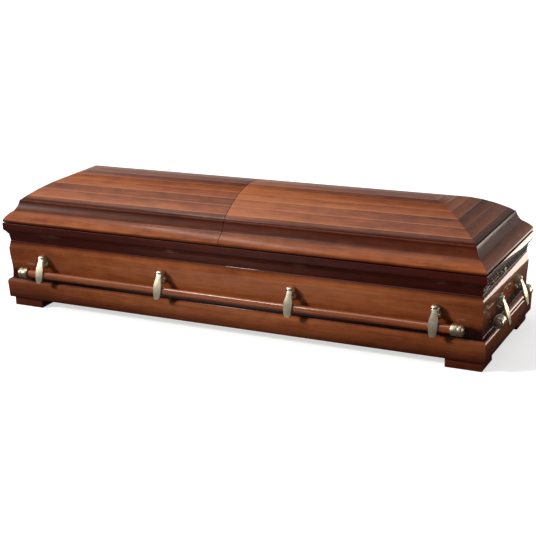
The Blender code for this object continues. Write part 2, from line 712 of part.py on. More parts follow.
def arm_mesh():
    stations = arm_stations()
    rings = []
    for k, (out, up, width) in enumerate(stations):
        before, after = stations[max(k - 1, 0)], stations[min(k + 1, len(stations) - 1)]
        along = Vector((after[0] - before[0], after[1] - before[1])).normalized()
        normal = Vector((-along.y, along.x)) * ARM_THICKNESS / 2
        half = width / 2
        inner = (-(out - normal.x), up - normal.y)
        ease = 1 - 2 * ARM_CHAMFER / ARM_THICKNESS
        edge = (-(out + normal.x * ease), up + normal.y * ease)
        face = (-(out + normal.x), up + normal.y)
        ring = []
        for (y, z), x in ((inner, half), (edge, half), (face, half - ARM_CHAMFER),
                          (face, ARM_CHAMFER - half), (edge, -half), (inner, -half)):
            ring.append((x, y, z))
        rings.append(ring)
    arm = loft("arm", rings)
    half = ARM_KNUCKLE_WIDTH / 2
    knuckle = cylinder(ARM_KNUCKLE_RADIUS, (-half, 0, 0), (half, 0, 0), KNUCKLE_SIDES)
    arm = combine(arm, knuckle, "UNION")
    bore = (EAR_PIN_RADIUS + ARM_BORE_CLEARANCE) / math.cos(math.pi / PIN_SIDES)
    drill = cylinder(bore, (-half - DRILL_OVERRUN, 0, 0), (half + DRILL_OVERRUN, 0, 0), PIN_SIDES)
    arm = combine(combine(arm, saddle_mesh(), "UNION"), drill, "DIFFERENCE")
    level = (PIVOT_OUT - BAR_OUT, -BAR_DROP)
    room = (BAR_RADIUS + JOINT_GAP) / math.cos(math.pi / BAR_SIDES)
    hollow = cylinder(room, (-ARM_LEAF_WIDTH, *level), (ARM_LEAF_WIDTH, *level), BAR_SIDES)
    return combine(arm, hollow, "DIFFERENCE")


def saddle_mesh():
    """The block behind the leaf that is hollowed out for the bar."""
    centre = (PIVOT_OUT - BAR_OUT, -BAR_DROP)
    outer = BAR_RADIUS + JOINT_GAP + ARM_SADDLE_WALL
    outline = []
    for k in range(SADDLE_STEPS + 1):
        angle = -ARM_SADDLE_REACH + 2 * ARM_SADDLE_REACH * k / SADDLE_STEPS
        outline.append((centre[0] - outer * math.cos(angle), centre[1] + outer * math.sin(angle)))
    return prism(outline, -ARM_SADDLE_WIDTH / 2, ARM_SADDLE_WIDTH / 2)


def tip_mesh():
    """A turned cap: a collar, a groove and a rounded cap with a low dome, drawn along +Z."""
    collar = TIP_LENGTH - TIP_CAP_LENGTH - TIP_GROOVE_WIDTH
    cap = TIP_LENGTH - TIP_CAP_LENGTH
    profile = [(0, 0), (TIP_RADIUS, 0), (TIP_RADIUS, collar),
               (TIP_RADIUS - TIP_GROOVE_DEPTH, collar + TIP_GROOVE_WIDTH / 2), (TIP_RADIUS, cap),
               (TIP_RADIUS, TIP_LENGTH - TIP_ROUND), (TIP_RADIUS - TIP_ROUND, TIP_LENGTH),
               (TIP_DOME_RADIUS, TIP_LENGTH), (0, TIP_LENGTH + TIP_DOME_RISE)]
    work = bmesh.new()
    line = [work.verts.new((radius, 0, z)) for radius, z in profile]
    edges = [work.edges.new(pair) for pair in zip(line, line[1:])]
    bmesh.ops.spin(work, geom=line + edges, cent=(0, 0, 0), axis=(0, 0, 1), dvec=(0, 0, 0),
                   angle=2 * math.pi, steps=TIP_SIDES, use_merge=True)
    return finish_mesh(work, "tip", CAST_SMOOTH_ANGLE)


def trimmed_ear():
    ear = combine(ear_mesh(), wall_mesh(), "DIFFERENCE")
    ear = combine(ear, slot_mesh(), "DIFFERENCE")
    half = ARM_KNUCKLE_WIDTH / 2 + EAR_SLOT_CLEARANCE * 2
    pin = cylinder(EAR_PIN_RADIUS, (-half, 0, 0), (half, 0, 0), PIN_SIDES)
    return smooth(combine(ear, pin, "UNION"), CAST_SMOOTH_ANGLE)


def build_handles(cast, wood):
    ear = trimmed_ear()
    arm = smooth(arm_mesh(), CAST_SMOOTH_ANGLE)
    tip = tip_mesh()
    for side, (out, half_run, turn) in SIDES.items():
        count, inset, overhang = SIDE_ARM_COUNT, SIDE_ARM_INSET, SIDE_BAR_OVERHANG
        if side in ("head", "foot"):
            count, inset, overhang = END_ARM_COUNT, END_ARM_INSET, END_BAR_OVERHANG
        first = inset - half_run
        places = [first - 2 * first * k / (count - 1) for k in range(count)]
        around = Matrix.Rotation(turn, 4, "Z")
        pivot = make_empty(side + "_handle_pivot", around @ Vector((0, -out - PIVOT_OUT, PIVOT_HEIGHT)))
        pivot.rotation_euler = (0, 0, turn)
        for number, along in enumerate(places, 1):
            spot = around @ Vector((along, -out - PIVOT_OUT, PIVOT_HEIGHT))
            make_object(f"ear_{side}_{number}", ear, cast, location=spot, turn=turn)
            make_object(f"{side}_arm_{number}", arm, cast, parent=pivot, location=(along, 0, 0))
        reach = places[-1] + overhang
        line = Vector((0, PIVOT_OUT - BAR_OUT, -BAR_DROP))
        bar = cylinder(BAR_RADIUS, (-reach, 0, 0), (reach, 0, 0), BAR_SIDES)
        make_object(side + "_bar", smooth(bar, CAST_SMOOTH_ANGLE), wood, parent=pivot, location=line)
        for number, end in ((1, -1), (2, 1)):
            place = line + Vector((end * (reach + JOINT_GAP), 0, 0))
            cap = make_object(f"{side}_tip_{number}", tip, cast, parent=pivot, location=place)
            cap.rotation_euler = (0, end * math.pi / 2, 0)


def main():
    clear_scene()
    wood = make_material("stained_wood", (0.22, 0.075, 0.03), 0.25, 0.0)
    board_wood = make_material("plain_board", (0.55, 0.40, 0.25), 0.6, 0.0)
    bar_wood = make_material("bar_wood", (0.25, 0.09, 0.04), 0.2, 0.0)
    cast = make_material("cast_metal", (0.72, 0.64, 0.50), 0.35, 1.0)
    hinge_metal = make_material("hinge_metal", (0.60, 0.58, 0.52), 0.35, 1.0)
    build_box(wood, board_wood)
    build_feet(wood)
    build_hinges(hinge_metal, build_lids(wood))
    build_handles(cast, bar_wood)


main()
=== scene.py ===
# %% [markdown]
# # A hardwood casket with swing-bar handles
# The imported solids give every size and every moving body. This lesson dresses them: smooth mouldings
# worked out from their sections, stained wood under lacquer, and cast handles in a pale gold.
# The long front faces -Y, the head end is at -X, the foot end at +X, and all sizes are in metres.

import bmesh
import bpy
import numpy as np
from mathutils import Matrix, Vector


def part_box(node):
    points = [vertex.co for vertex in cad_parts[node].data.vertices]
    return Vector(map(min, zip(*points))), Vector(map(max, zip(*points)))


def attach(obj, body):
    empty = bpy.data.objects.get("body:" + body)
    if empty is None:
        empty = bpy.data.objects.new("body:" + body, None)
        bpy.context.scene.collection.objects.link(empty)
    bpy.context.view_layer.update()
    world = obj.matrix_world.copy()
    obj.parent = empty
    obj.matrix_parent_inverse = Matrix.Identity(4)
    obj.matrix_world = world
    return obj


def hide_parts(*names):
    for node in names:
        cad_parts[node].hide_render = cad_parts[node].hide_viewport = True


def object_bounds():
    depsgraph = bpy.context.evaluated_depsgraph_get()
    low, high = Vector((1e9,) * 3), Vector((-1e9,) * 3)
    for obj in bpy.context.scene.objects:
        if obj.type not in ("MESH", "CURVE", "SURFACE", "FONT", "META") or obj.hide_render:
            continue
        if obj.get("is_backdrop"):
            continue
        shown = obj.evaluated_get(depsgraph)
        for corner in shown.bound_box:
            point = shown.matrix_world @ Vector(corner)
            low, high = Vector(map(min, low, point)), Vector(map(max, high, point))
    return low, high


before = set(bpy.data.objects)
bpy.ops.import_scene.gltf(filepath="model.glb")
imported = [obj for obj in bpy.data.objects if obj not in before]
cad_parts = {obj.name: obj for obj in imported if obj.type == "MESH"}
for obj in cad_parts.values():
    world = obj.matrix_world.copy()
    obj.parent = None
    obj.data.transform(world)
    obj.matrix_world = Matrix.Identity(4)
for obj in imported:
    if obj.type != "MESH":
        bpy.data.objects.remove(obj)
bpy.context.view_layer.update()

# %% [markdown]
# ## The plan and the levels
# A casket is mouldings run round a box. Each section is drawn as (inset, height) points, the inset
# measured inwards from the lid's nose, its widest line, so one section serves the sides and the ends.
# The numbers repeat those of the solids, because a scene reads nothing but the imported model.

# %% Plan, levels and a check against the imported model
LENGTH, WIDTH, SPLIT_X = 2.060, 0.612, -0.017
GAP, LID_END_GAP = 0.0003, 0.0024
BASE_BOTTOM, BASE_TOP = 0.0380, 0.1205
PANEL_BOTTOM, PANEL_TOP = 0.0563, 0.2815
RIM_BOTTOM, RIM_TOP = 0.2818, 0.3593
LID_BOTTOM, LID_TOP = 0.3619, 0.4580
CROWN_BOTTOM, CROWN_RISE = 0.4583, 0.0857

SIDES = {
    "front": (WIDTH / 2, LENGTH / 2, 0.0),
    "foot": (LENGTH / 2, WIDTH / 2, np.pi / 2),
    "back": (WIDTH / 2, LENGTH / 2, np.pi),
    "head": (LENGTH / 2, WIDTH / 2, -np.pi / 2),
}

for name, low, high in (("rim_front", RIM_BOTTOM, RIM_TOP), ("head_lid_moulding", LID_BOTTOM, LID_TOP)):
    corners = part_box(name)
    print(name, "off by", round(corners[0][2] - low, 5), round(corners[1][2] - high, 5))

# %% [markdown]
# ## Drawing a section
# A cutter's profile is straight lines, arcs and slow waves, with every arris eased by sanding. The
# three helpers give just that as arrays: an arc between two points, a half wave, and an easing of
# every sharp corner. A sharp corner without it would catch no light.

# %% Section helpers
def arc(start, end, bulge, steps):
    """Points after start, up to end, on an arc that stands bulge proud of its chord.

    Radius = (half chord squared + bulge squared) / (2 bulge). A positive bulge is left of the way.
    """
    start, end = np.array(start, float), np.array(end, float)
    chord = end - start
    half = np.hypot(*chord) / 2
    radius = (half ** 2 + bulge ** 2) / (2 * abs(bulge))
    side = np.array([-chord[1], chord[0]]) / (2 * half) * np.sign(bulge)
    centre = (start + end) / 2 - side * (radius - abs(bulge))
    angle = -np.sign(bulge) * 2 * np.arcsin(min(1.0, half / radius)) * np.arange(1, steps + 1) / steps
    x, y = start - centre
    turned = [x * np.cos(angle) - y * np.sin(angle), x * np.sin(angle) + y * np.cos(angle)]
    return centre + np.column_stack(turned)


def wave(low, high, steps):
    """Points after low, up to high: height runs evenly and inset follows half a cosine wave."""
    share = np.arange(1, steps + 1) / steps
    inset = low[0] + (high[0] - low[0]) * (1 - np.cos(np.pi * share)) / 2
    return np.column_stack([inset, low[1] + (high[1] - low[1]) * share])


def ease(points, radius, closed=True, sharp=np.radians(20), steps=5):
    """Eases each corner that turns more than sharp with a quadratic curve.

    The curve is (1-s)^2 A + 2s(1-s) P + s^2 C, with A and C a radius back along each edge.
    """
    points = np.asarray(points, float)
    before, after = np.roll(points, 1, 0) - points, np.roll(points, -1, 0) - points
    long_before = np.hypot(*before.T)[:, None]
    long_after = np.hypot(*after.T)[:, None]
    turn = np.pi - np.arccos(np.clip((before * after).sum(1) / (long_before * long_after)[:, 0], -1, 1))
    a = points + before / long_before * np.minimum(radius, long_before * 0.45)
    c = points + after / long_after * np.minimum(radius, long_after * 0.45)
    s = np.linspace(0, 1, steps)[None, :, None]
    curve = (1 - s) ** 2 * a[:, None] + 2 * s * (1 - s) * points[:, None] + s ** 2 * c[:, None]
    keep = np.repeat((turn > sharp)[:, None], steps, 1)
    if not closed:
        keep[[0, -1]] = False
    curve[~keep[:, 0]] = points[~keep[:, 0]][:, None]
    keep[~keep[:, 0], 0] = True
    return curve[keep]


# %% [markdown]
# ## From arrays to a mesh
# Wood grain has to run along each length and turn at each mitre, so every wooden piece carries a UV
# map in metres: U along the grain, V across it. Each piece starts at its own place on that map, as
# each is cut from its own board. One function makes every piece, hangs it on its moving body and hides
# the solid it dresses.

# %% Mesh builder
BOARD_STEP = np.array([3.7, 1.31])
made = []


def write_values(mesh, name, values):
    """One value per vertex, which a material reads by its name."""
    layer = mesh.attributes.new(name, "FLOAT", "POINT")
    layer.data.foreach_set("value", np.broadcast_to(values, len(mesh.vertices)).astype(np.float32))


def make_piece(name, verts, faces, uv, material, body, nodes=(), sharp=30, flip=False, toner_and_shade=0.0):
    """Writes vertices, faces, a UV per face corner and the toner with its painted shade per vertex to a
    mesh.
    """
    if flip:
        faces = [tuple(reversed(face)) for face in faces]
        cuts = np.cumsum([len(face) for face in faces])[:-1]
        uv = np.concatenate([part[::-1] for part in np.split(uv, cuts)])
    mesh = bpy.data.meshes.new(name)
    mesh.from_pydata(np.asarray(verts).tolist(), [], faces)
    layer = mesh.uv_layers.new(name="Grain")
    layer.data.foreach_set("uv", np.asarray(uv + BOARD_STEP * (len(made) + 1), np.float32).ravel())
    write_values(mesh, "toner_and_shade", toner_and_shade)
    return place_piece(name, mesh, material, body, nodes, sharp)


def dress(mesh, material):
    """Gives a mesh one material in place of what it had."""
    mesh.materials.clear()
    mesh.materials.append(material)


def place_piece(name, mesh, material, body, nodes=(), sharp=30):
    """Links a finished mesh as a piece of the scene."""
    mesh.shade_smooth()
    mesh.set_sharp_from_angle(angle=np.radians(sharp))
    dress(mesh, material)
    piece = bpy.data.objects.new(name, mesh)
    bpy.context.collection.objects.link(piece)
    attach(piece, body)
    if nodes:
        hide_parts(*nodes)
    made.append(piece)
    return piece


def ring_faces(rings, count):
    """Quads between neighbouring rings of count points, as (lower i, lower j, upper j, upper i)."""
    i = np.arange(count)
    j = (i + 1) % count
    base = (np.arange(rings - 1) * count)[:, None]
    quads = np.stack([base + i, base + j, base + count + j, base + count + i], -1)
    return quads.reshape(-1, 4)


def tube_faces(rings, count):
    """A closed tube's faces, the quads and then its two caps; its quads; the corners of its caps."""
    quads = ring_faces(rings, count)
    last = count * (rings - 1)
    caps = [tuple(range(count))[::-1], tuple(range(last, last + count))]
    return [tuple(quad) for quad in quads.tolist()] + caps, quads, np.concatenate(caps)


def girth(section, bands):
    """V at the corners of each quad: the way round the section, the same in every band."""
    around = np.append(0, np.cumsum(np.hypot(*np.diff(np.vstack([section, section[:1]]), axis=0).T)))
    start = np.tile(np.arange(len(section)), bands)
    return around[np.stack([start, start + 1, start + 1, start], -1)]


def turn_z(points, angle):
    """Rotates points about the Z axis: x' = x cos - y sin, y' = x sin + y cos."""
    c, s = np.cos(angle), np.sin(angle)
    return points @ np.array([[c, s, 0], [-s, c, 0], [0, 0, 1]])


print("section and mesh helpers ready")

# %% [markdown]
# ## Stained wood under lacquer
# The finish is a red-brown stain that pools in the grain, a darker toner sprayed into the hollows of
# the mouldings, and clear lacquer. The box is rubbed to a gloss, and the rims, lids and crowns are
# satin. The toner attribute also carries painted shade: in the hollows, under the bar, in the groove
# below the crown and towards the ends of each run. So the colour comes from the grain, the toner and
# that painted shade, and the shine from a coat on top. The grain is one node group, fed with metres
# along and across the board, so each wood sets its own values.

# %% Grain node group
def new_group(name, inputs, outputs):
    """A shader node group with named sockets."""
    group = bpy.data.node_groups.new(name, "ShaderNodeTree")
    for label, kind, value in inputs:
        socket = group.interface.new_socket(label, in_out="INPUT", socket_type=kind)
        if value is not None:
            socket.default_value = value
    for label, kind in outputs:
        group.interface.new_socket(label, in_out="OUTPUT", socket_type=kind)
    return group, group.nodes.new("NodeGroupInput"), group.nodes.new("NodeGroupOutput")


class Wiring:
    """Short calls to add nodes to one tree and join them."""

    def __init__(self, tree):
        self.tree = tree

    def node(self, kind, **values):
        node = self.tree.nodes.new("ShaderNode" + kind)
        for key, value in values.items():
            setattr(node, key, value)
        return node

    def join(self, source, target):
        self.tree.links.new(source, target)

    def set(self, socket, value):
        """Joins an output to the socket, or writes a plain value to it."""
        if isinstance(value, bpy.types.NodeSocket):
            self.join(value, socket)
        else:
            socket.default_value = value

    def feed(self, node, values):
        """Sets several sockets of a node, each by its name or number."""
        for label, value in values.items():
            self.set(node.inputs[label], value)
        return node

    def math(self, operation, *values, clamp=False):
        node = self.node("Math", operation=operation, use_clamp=clamp)
        return self.feed(node, dict(enumerate(values))).outputs[0]

    def stretch(self, vector, scale, shift=(0, 0, 0)):
        values = {"Vector": vector, "Scale": scale, "Location": shift}
        return self.feed(self.node("Mapping"), values).outputs[0]

    def noise(self, vector, scale, detail=2.0, roughness=0.5):
        values = {"Vector": vector, "Scale": scale, "Detail": detail, "Roughness": roughness}
        return self.feed(self.node("TexNoise"), values).outputs["Fac"]

    def place(self, output="Object"):
        """The X, Y and Z of a texture coordinate."""
        node = self.node("SeparateXYZ")
        self.join(self.node("TexCoord").outputs[output], node.inputs[0])
        return node.outputs

    def span(self, value, low, high, to_low=0.0, to_high=1.0):
        values = {"Value": value, "From Min": low, "From Max": high, "To Min": to_low, "To Max": to_high}
        return self.feed(self.node("MapRange"), values).outputs["Result"]

    def mix(self, factor, first, second, blend="MIX"):
        node = self.node("Mix", data_type="RGBA", blend_type=blend)
        return self.feed(node, {0: factor, 6: first, 7: second}).outputs[2]


def build_grain_group():
    """Grain from metres along and across: figure, fibre and pores, and the stain's pooling.

    Each layer is noise on the board's coordinates, squeezed along the grain: figure at 2 by 22 per
    metre, fibre at 7 by 260, pores at 40 by 1500, and a mottle that is nearly round at 16 by 30.
    """
    inputs = [("Board", "NodeSocketVector", None), ("Dark", "NodeSocketColor", (0.03, 0.006, 0.002, 1)),
              ("Middle", "NodeSocketColor", (0.17, 0.045, 0.014, 1)),
              ("Light", "NodeSocketColor", (0.34, 0.11, 0.04, 1)), ("Mottle", "NodeSocketFloat", 0.5),
              ("Tone", "NodeSocketFloat", 0.0)]
    group, source, sink = new_group("wood_grain", inputs,
                                    [("Color", "NodeSocketColor"), ("Height", "NodeSocketFloat")])
    w = Wiring(group)
    board = source.outputs["Board"]
    wander = w.noise(w.stretch(board, (1.1, 5.0, 1.0)), 1.0, 2.0)
    bend = w.node("CombineXYZ")
    w.join(w.math("MULTIPLY", wander, 0.030), bend.inputs["Y"])
    bent = w.node("VectorMath", operation="ADD")
    w.join(board, bent.inputs[0])
    w.join(bend.outputs[0], bent.inputs[1])
    bent = bent.outputs[0]
    figure = w.noise(w.stretch(bent, (2.0, 22.0, 1.0)), 1.0, 3.0, 0.55)
    fibre = w.noise(w.stretch(bent, (7.0, 260.0, 1.0), (3.1, 0, 0)), 1.0, 3.0, 0.6)
    pores = w.noise(w.stretch(bent, (40.0, 1500.0, 1.0), (7.7, 0, 0)), 1.0, 2.0, 0.5)
    mottle = w.noise(w.stretch(board, (16.0, 30.0, 1.0), (1.9, 4.2, 0)), 1.0, 3.0, 0.55)
    tone = w.math("MULTIPLY_ADD", w.math("SUBTRACT", figure, 0.5), 0.9, 0.5)
    tone = w.math("MULTIPLY_ADD", w.math("SUBTRACT", fibre, 0.5), 0.75, tone)
    blot = w.math("MULTIPLY", w.math("SUBTRACT", mottle, 0.5), source.outputs["Mottle"])
    tone = w.math("ADD", w.math("ADD", tone, blot), source.outputs["Tone"])
    pore_mask = w.span(pores, 0.30, 0.42)
    tone = w.math("MULTIPLY_ADD", w.math("SUBTRACT", pore_mask, 1.0), 0.13, tone, clamp=True)
    low = w.mix(w.span(tone, 0.08, 0.52), source.outputs["Dark"], source.outputs["Middle"])
    colour = w.mix(w.span(tone, 0.48, 0.95), low, source.outputs["Light"])
    w.join(colour, sink.inputs["Color"])
    w.join(w.math("MULTIPLY_ADD", fibre, 0.3, pore_mask), sink.inputs["Height"])
    return group


GRAIN = build_grain_group()
print("grain group:", len(GRAIN.nodes), "nodes")

# %% [markdown]
# ## Staves in the crown
# The vault is coopered: long staves glued edge to edge and turned to the curve. Each has its own
# tone; over it painted shade grows darker towards the ridge, and a painted highlight lies in a thin
# lighter line where each stave begins. A stave is known by its distance in from the lid's nose, so the
# joints follow the hips round the end. Painted light makes the foot lid palest beside the split and
# fades towards its end; on the head lid painted shade deepens a little towards the split.

# %% Stave node group
STAVE_START, STAVE_WIDTH = 0.0782, 0.0383
STAVE_JOINTS = STAVE_START + STAVE_WIDTH * np.arange(6)
# The fall across each stave is painted shade; the light line at each joint is a painted highlight.
STAVE_SPREAD, STAVE_SHADE_FALL, STAVE_TONE, JOINT_HIGHLIGHT_SHARE = 0.34, -0.30, 0.07, 0.12


def build_stave_group():
    """Which stave a point is on: number = floor((across - start) / width), its tone from noise, a painted
    shade falling across it and a painted highlight at its joint.
    """
    group, source, sink = new_group("crown_staves", [("Across", "NodeSocketFloat", 0.0)],
                                    [("Tone", "NodeSocketFloat"), ("Joint highlight", "NodeSocketFloat")])
    w = Wiring(group)
    count = w.math("DIVIDE", w.math("SUBTRACT", source.outputs["Across"], STAVE_START), STAVE_WIDTH)
    number = w.math("FLOOR", count)
    share = w.math("SUBTRACT", count, number)
    random = w.node("TexWhiteNoise", noise_dimensions="1D")
    w.join(number, random.inputs["W"])
    own = w.math("MULTIPLY", w.math("SUBTRACT", random.outputs["Value"], 0.5), STAVE_SPREAD)
    shade_fall = w.math("MULTIPLY", share, STAVE_SHADE_FALL)
    w.join(w.math("ADD", w.math("ADD", own, shade_fall), STAVE_TONE), sink.inputs["Tone"])
    w.join(w.span(share, 0.0, JOINT_HIGHLIGHT_SHARE, 1.0, 0.0), sink.inputs["Joint highlight"])
    return group


STAVES = build_stave_group()
print("stave group:", len(STAVES.nodes), "nodes")

# %% [markdown]
# ## Five woods from one recipe
# A maker stains one stock of boards and finishes it by its place. So one function makes every wood, and
# box, rims, lids, crowns and bars differ in tone, in mottle and in how far the coat is rubbed. The long
# rims' darker tone is painted shade.

# %% Wood materials
def start_material(name, roughness, metallic=0.0, coat=0.0, coat_roughness=0.03):
    """A Principled material with its plain values set on the shader's own sockets."""
    material = bpy.data.materials.new(name)
    material.use_nodes = True
    shader = material.node_tree.nodes["Principled BSDF"]
    w = Wiring(material.node_tree)
    w.feed(shader, {"Roughness": roughness, "Metallic": metallic, "Coat Weight": coat,
                    "Coat Roughness": coat_roughness})
    return material, w, shader


def add_group(w, group, **values):
    return w.feed(w.node("Group", node_tree=group), values)


def add_bump(w, shader, height, strength, distance):
    bump = w.feed(w.node("Bump"), {"Strength": strength, "Distance": distance, "Height": height})
    w.join(bump.outputs["Normal"], shader.inputs["Normal"])


DARK = (0.100, 0.0180, 0.0045, 1)
MIDDLE = (0.270, 0.066, 0.0170, 1)
LIGHT = (0.440, 0.135, 0.043, 1)
# TONER_AND_SHADE is multiplied in as far as the toner attribute reaches: real toner and painted shade alike.
TONER_AND_SHADE = (0.16, 0.045, 0.040, 1)
# JOINT_HIGHLIGHT is the colour of a painted highlight along each stave joint.
JOINT_HIGHLIGHT, JOINT_HIGHLIGHT_STRENGTH = (0.55, 0.24, 0.12, 1), 0.55
# Along the crown of each lid: X from and to, and the tone added at each: painted light beside the split on
# the foot lid, painted shade towards the split on the head lid.
FOOT_LID_PAINTED_LIGHT, HEAD_LID_PAINTED_SHADE = (SPLIT_X, 0.50, 0.44, 0.06), (-0.55, SPLIT_X, 0.10, -0.03)


def lacquered_wood(name, mottle=0.55, tone=0.0, staves=False, gloss=0.05, coat=1.0, coat_ior=1.5):
    """Stained wood on the piece's own Grain map, darkened by the toner and painted shade, under a clear
    coat.
    """
    material, w, shader = start_material(name, 0.45, coat=coat, coat_roughness=gloss)
    w.feed(shader, {"Coat IOR": coat_ior, "Specular IOR Level": 0.05})
    board = w.node("UVMap", uv_map="Grain").outputs["UV"]
    grain = add_group(w, GRAIN, Board=board, Dark=DARK, Middle=MIDDLE, Light=LIGHT, Mottle=mottle,
                      Tone=tone)
    colour = grain.outputs["Color"]
    if staves:
        across = w.node("Attribute", attribute_name="across").outputs["Fac"]
        stave = add_group(w, STAVES, Across=across)
        # Painted light and shade along the crown, by X: brighter beside the split on the foot lid, darker
        # towards it on the head lid.
        along = w.place()["X"]
        on_foot_lid = w.math("GREATER_THAN", along, SPLIT_X)
        foot_painted_light = w.math("MULTIPLY", on_foot_lid, w.span(along, *FOOT_LID_PAINTED_LIGHT))
        head_painted_shade = w.math("MULTIPLY", w.math("SUBTRACT", 1.0, on_foot_lid),
                           w.span(along, *HEAD_LID_PAINTED_SHADE))
        own = w.math("ADD", stave.outputs["Tone"], w.math("ADD", foot_painted_light, head_painted_shade))
        w.join(w.math("ADD", own, tone), grain.inputs["Tone"])
        # A painted highlight as a thin light line along each stave joint.
        line = w.math("MULTIPLY", stave.outputs["Joint highlight"], JOINT_HIGHLIGHT_STRENGTH)
        colour = w.mix(line, colour, JOINT_HIGHLIGHT)
    # The toner attribute darkens the wood by real toner and by painted shade.
    toner_and_shade = w.node("Attribute", attribute_name="toner_and_shade").outputs["Fac"]
    w.join(w.mix(toner_and_shade, colour, TONER_AND_SHADE, "MULTIPLY"), shader.inputs["Base Color"])
    w.join(w.span(grain.outputs["Height"], 0.0, 1.3, 0.52, 0.38), shader.inputs["Roughness"])
    add_bump(w, shader, grain.outputs["Height"], 0.05, 0.0002)
    return material


WOOD = lacquered_wood("lacquered_wood", tone=0.19)
LID_WOOD = lacquered_wood("lid_wood", tone=0.06, gloss=0.22, coat=0.5)
LONG_RIM_SHADED_WOOD = lacquered_wood("rim_wood", tone=0.10, gloss=0.34, coat=0.7)
CROWN_WOOD = lacquered_wood("crown_wood", staves=True, tone=-0.02, gloss=0.30, coat=0.75)
BAR_WOOD = lacquered_wood("bar_wood_gloss", mottle=0.3, tone=0.02, gloss=0.10, coat_ior=2.0)
print("wood materials:", WOOD.name, CROWN_WOOD.name, BAR_WOOD.name)

# %% [markdown]
# ## Straight runs, mitred at the corners
# Panels, base and rim are straight lengths cut at 45 degrees and glued at the corners. Each run is
# its section carried along one side, every point stopping at its own mitre: a point that lies further
# in stops sooner, by exactly its inset. Painted shade is added towards both ends of each run.

# %% Straight runs
# How much painted shade is added at the ends of each run.
END_PAINTED_SHADE = 0.45


def run_piece(name, section, side, material, toner_and_shade, stations=9):
    """A section carried along a side: x = share * (half run - inset - cut), y = inset - out.

    The toner and painted shade is read from its curve of height, and painted shade deepens as share^2
    towards both ends.
    """
    out, half, turn = SIDES[side]
    cut = GAP / np.sqrt(2)
    share = np.linspace(-1, 1, stations)[:, None]
    inset, height = section.T
    x = share * (half - inset - cut)
    points = np.stack(np.broadcast_arrays(x, inset - out, height), -1).reshape(-1, 3)
    faces, quads, ends = tube_faces(stations, len(section))
    quad_uv = np.stack([points[quads][..., 0], girth(section, stations - 1)], -1).reshape(-1, 2)
    uv = np.vstack([quad_uv, points[ends][:, 1:]])
    clockwise = np.sum(inset * np.roll(height, -1) - np.roll(inset, -1) * height) < 0
    shade = (np.interp(height, *toner_and_shade) + END_PAINTED_SHADE * share ** 2).clip(0, 1).ravel()
    return make_piece(name, turn_z(points, turn), faces, uv, material, "root", [name],
                      flip=clockwise, toner_and_shade=shade)


# %% [markdown]
# ## Panels, base and rim
# The panels are not flat: they draw in at a waist above the base and swell to a belly below the rim,
# which is why the lacquer shows dark and light bands along them. The base is a plain board with a
# rounded top, and the rim steps out to the parting line in a narrow band, an ovolo and a fascia.

# %% Sections of the box
def panel_section():
    """Waist and belly as half waves between level points, then the hidden back."""
    foot, waist = (0.0144, BASE_TOP + GAP), (0.0162, BASE_TOP + 0.032)
    belly, top = (0.0110, BASE_TOP + 0.126), (0.0165, PANEL_TOP - 0.002)
    face = np.vstack([foot, wave(foot, waist, 8), wave(waist, belly, 22), wave(belly, top, 12)])
    seat = [(0.0160, PANEL_BOTTOM), (0.0160, BASE_TOP + GAP)]
    back = [(0.0185, PANEL_TOP), (0.036, PANEL_TOP), (0.036, PANEL_BOTTOM)]
    return np.vstack([seat, face, back])


def base_section():
    """A board with a quarter round along its top edge."""
    nose, shelf = (-0.0025, BASE_TOP - 0.017), (0.0115, BASE_TOP)
    bulge = np.hypot(shelf[0] - nose[0], shelf[1] - nose[1]) * (np.sqrt(2) - 1) / 2
    outline = np.vstack([[(0.0025, BASE_BOTTOM), (0.0, BASE_BOTTOM + 0.0025), nose],
                         arc(nose, shelf, bulge, 14), [(0.0157, BASE_TOP), (0.0157, BASE_BOTTOM)]])
    return ease(outline, 0.0012)


def rim_section():
    """Fascia, ovolo, sloping band and a small quirk above the panel."""
    edge, ovolo = (-0.0020, RIM_TOP - 0.0225), (0.0045, RIM_TOP - 0.0345)
    band = (0.0140, RIM_TOP - 0.0495)
    face = np.vstack([[(-0.0020, RIM_TOP), edge], arc(edge, ovolo, -0.0018, 10), [band]])
    foot = [(0.0178, RIM_BOTTOM + 0.002), (0.0185, RIM_BOTTOM), (0.040, RIM_BOTTOM), (0.040, RIM_TOP)]
    return ease(np.vstack([face, foot]), 0.0012)


PANELS = {"front": "side_panel_front", "back": "side_panel_back",
          "head": "end_panel_head", "foot": "end_panel_foot"}
# Each toner curve is heights, then how much toner and painted shade lies at each of them: painted
# shadow under the bar at the panel's foot, painted shade under the rim and on the base's top shelf,
# the base darker low down, and the rim dark nearly all over.
PANEL_TONER_AND_SHADE = [(0.121, 0.140, 0.165, 0.195, 0.262, 0.274, 0.281), (1.0, 0.85, 0.30, 0.0, 0.0, 0.40, 0.95)]
RIM_TONER_AND_SHADE = [(0.282, 0.310, 0.322, 0.328, 0.337, 0.340, 0.359), (0.95, 0.85, 0.85, 1.0, 1.0, 0.92, 0.90)]
BASE_TONER_AND_SHADE = [(0.038, 0.060, 0.082, 0.098, 0.113, 0.118, 0.1205), (0.85, 0.72, 0.35, 0.0, 0.0, 0.30, 0.95)]
for side in SIDES:
    run_piece(PANELS[side], panel_section(), side, WOOD, PANEL_TONER_AND_SHADE)
    # The long rims take a darker, satin copy of the wood and the end rims the box's lighter wood: painted
    # shade on the long sides.
    rim_wood = LONG_RIM_SHADED_WOOD if side in ("front", "back") else WOOD
    run_piece("rim_" + side, rim_section(), side, rim_wood, RIM_TONER_AND_SHADE)
    run_piece("base_" + side, base_section(), side, WOOD, BASE_TONER_AND_SHADE)
print("box pieces:", len(made))

# %% [markdown]
# ## Feet and bottom board
# Four plain blocks stand under the corners. The solids already are those blocks, so the piece here
# only rounds their arrises more finely and gives them a Grain map. The bottom board shows from below
# alone, so its solid stays and takes a bare board's colour.

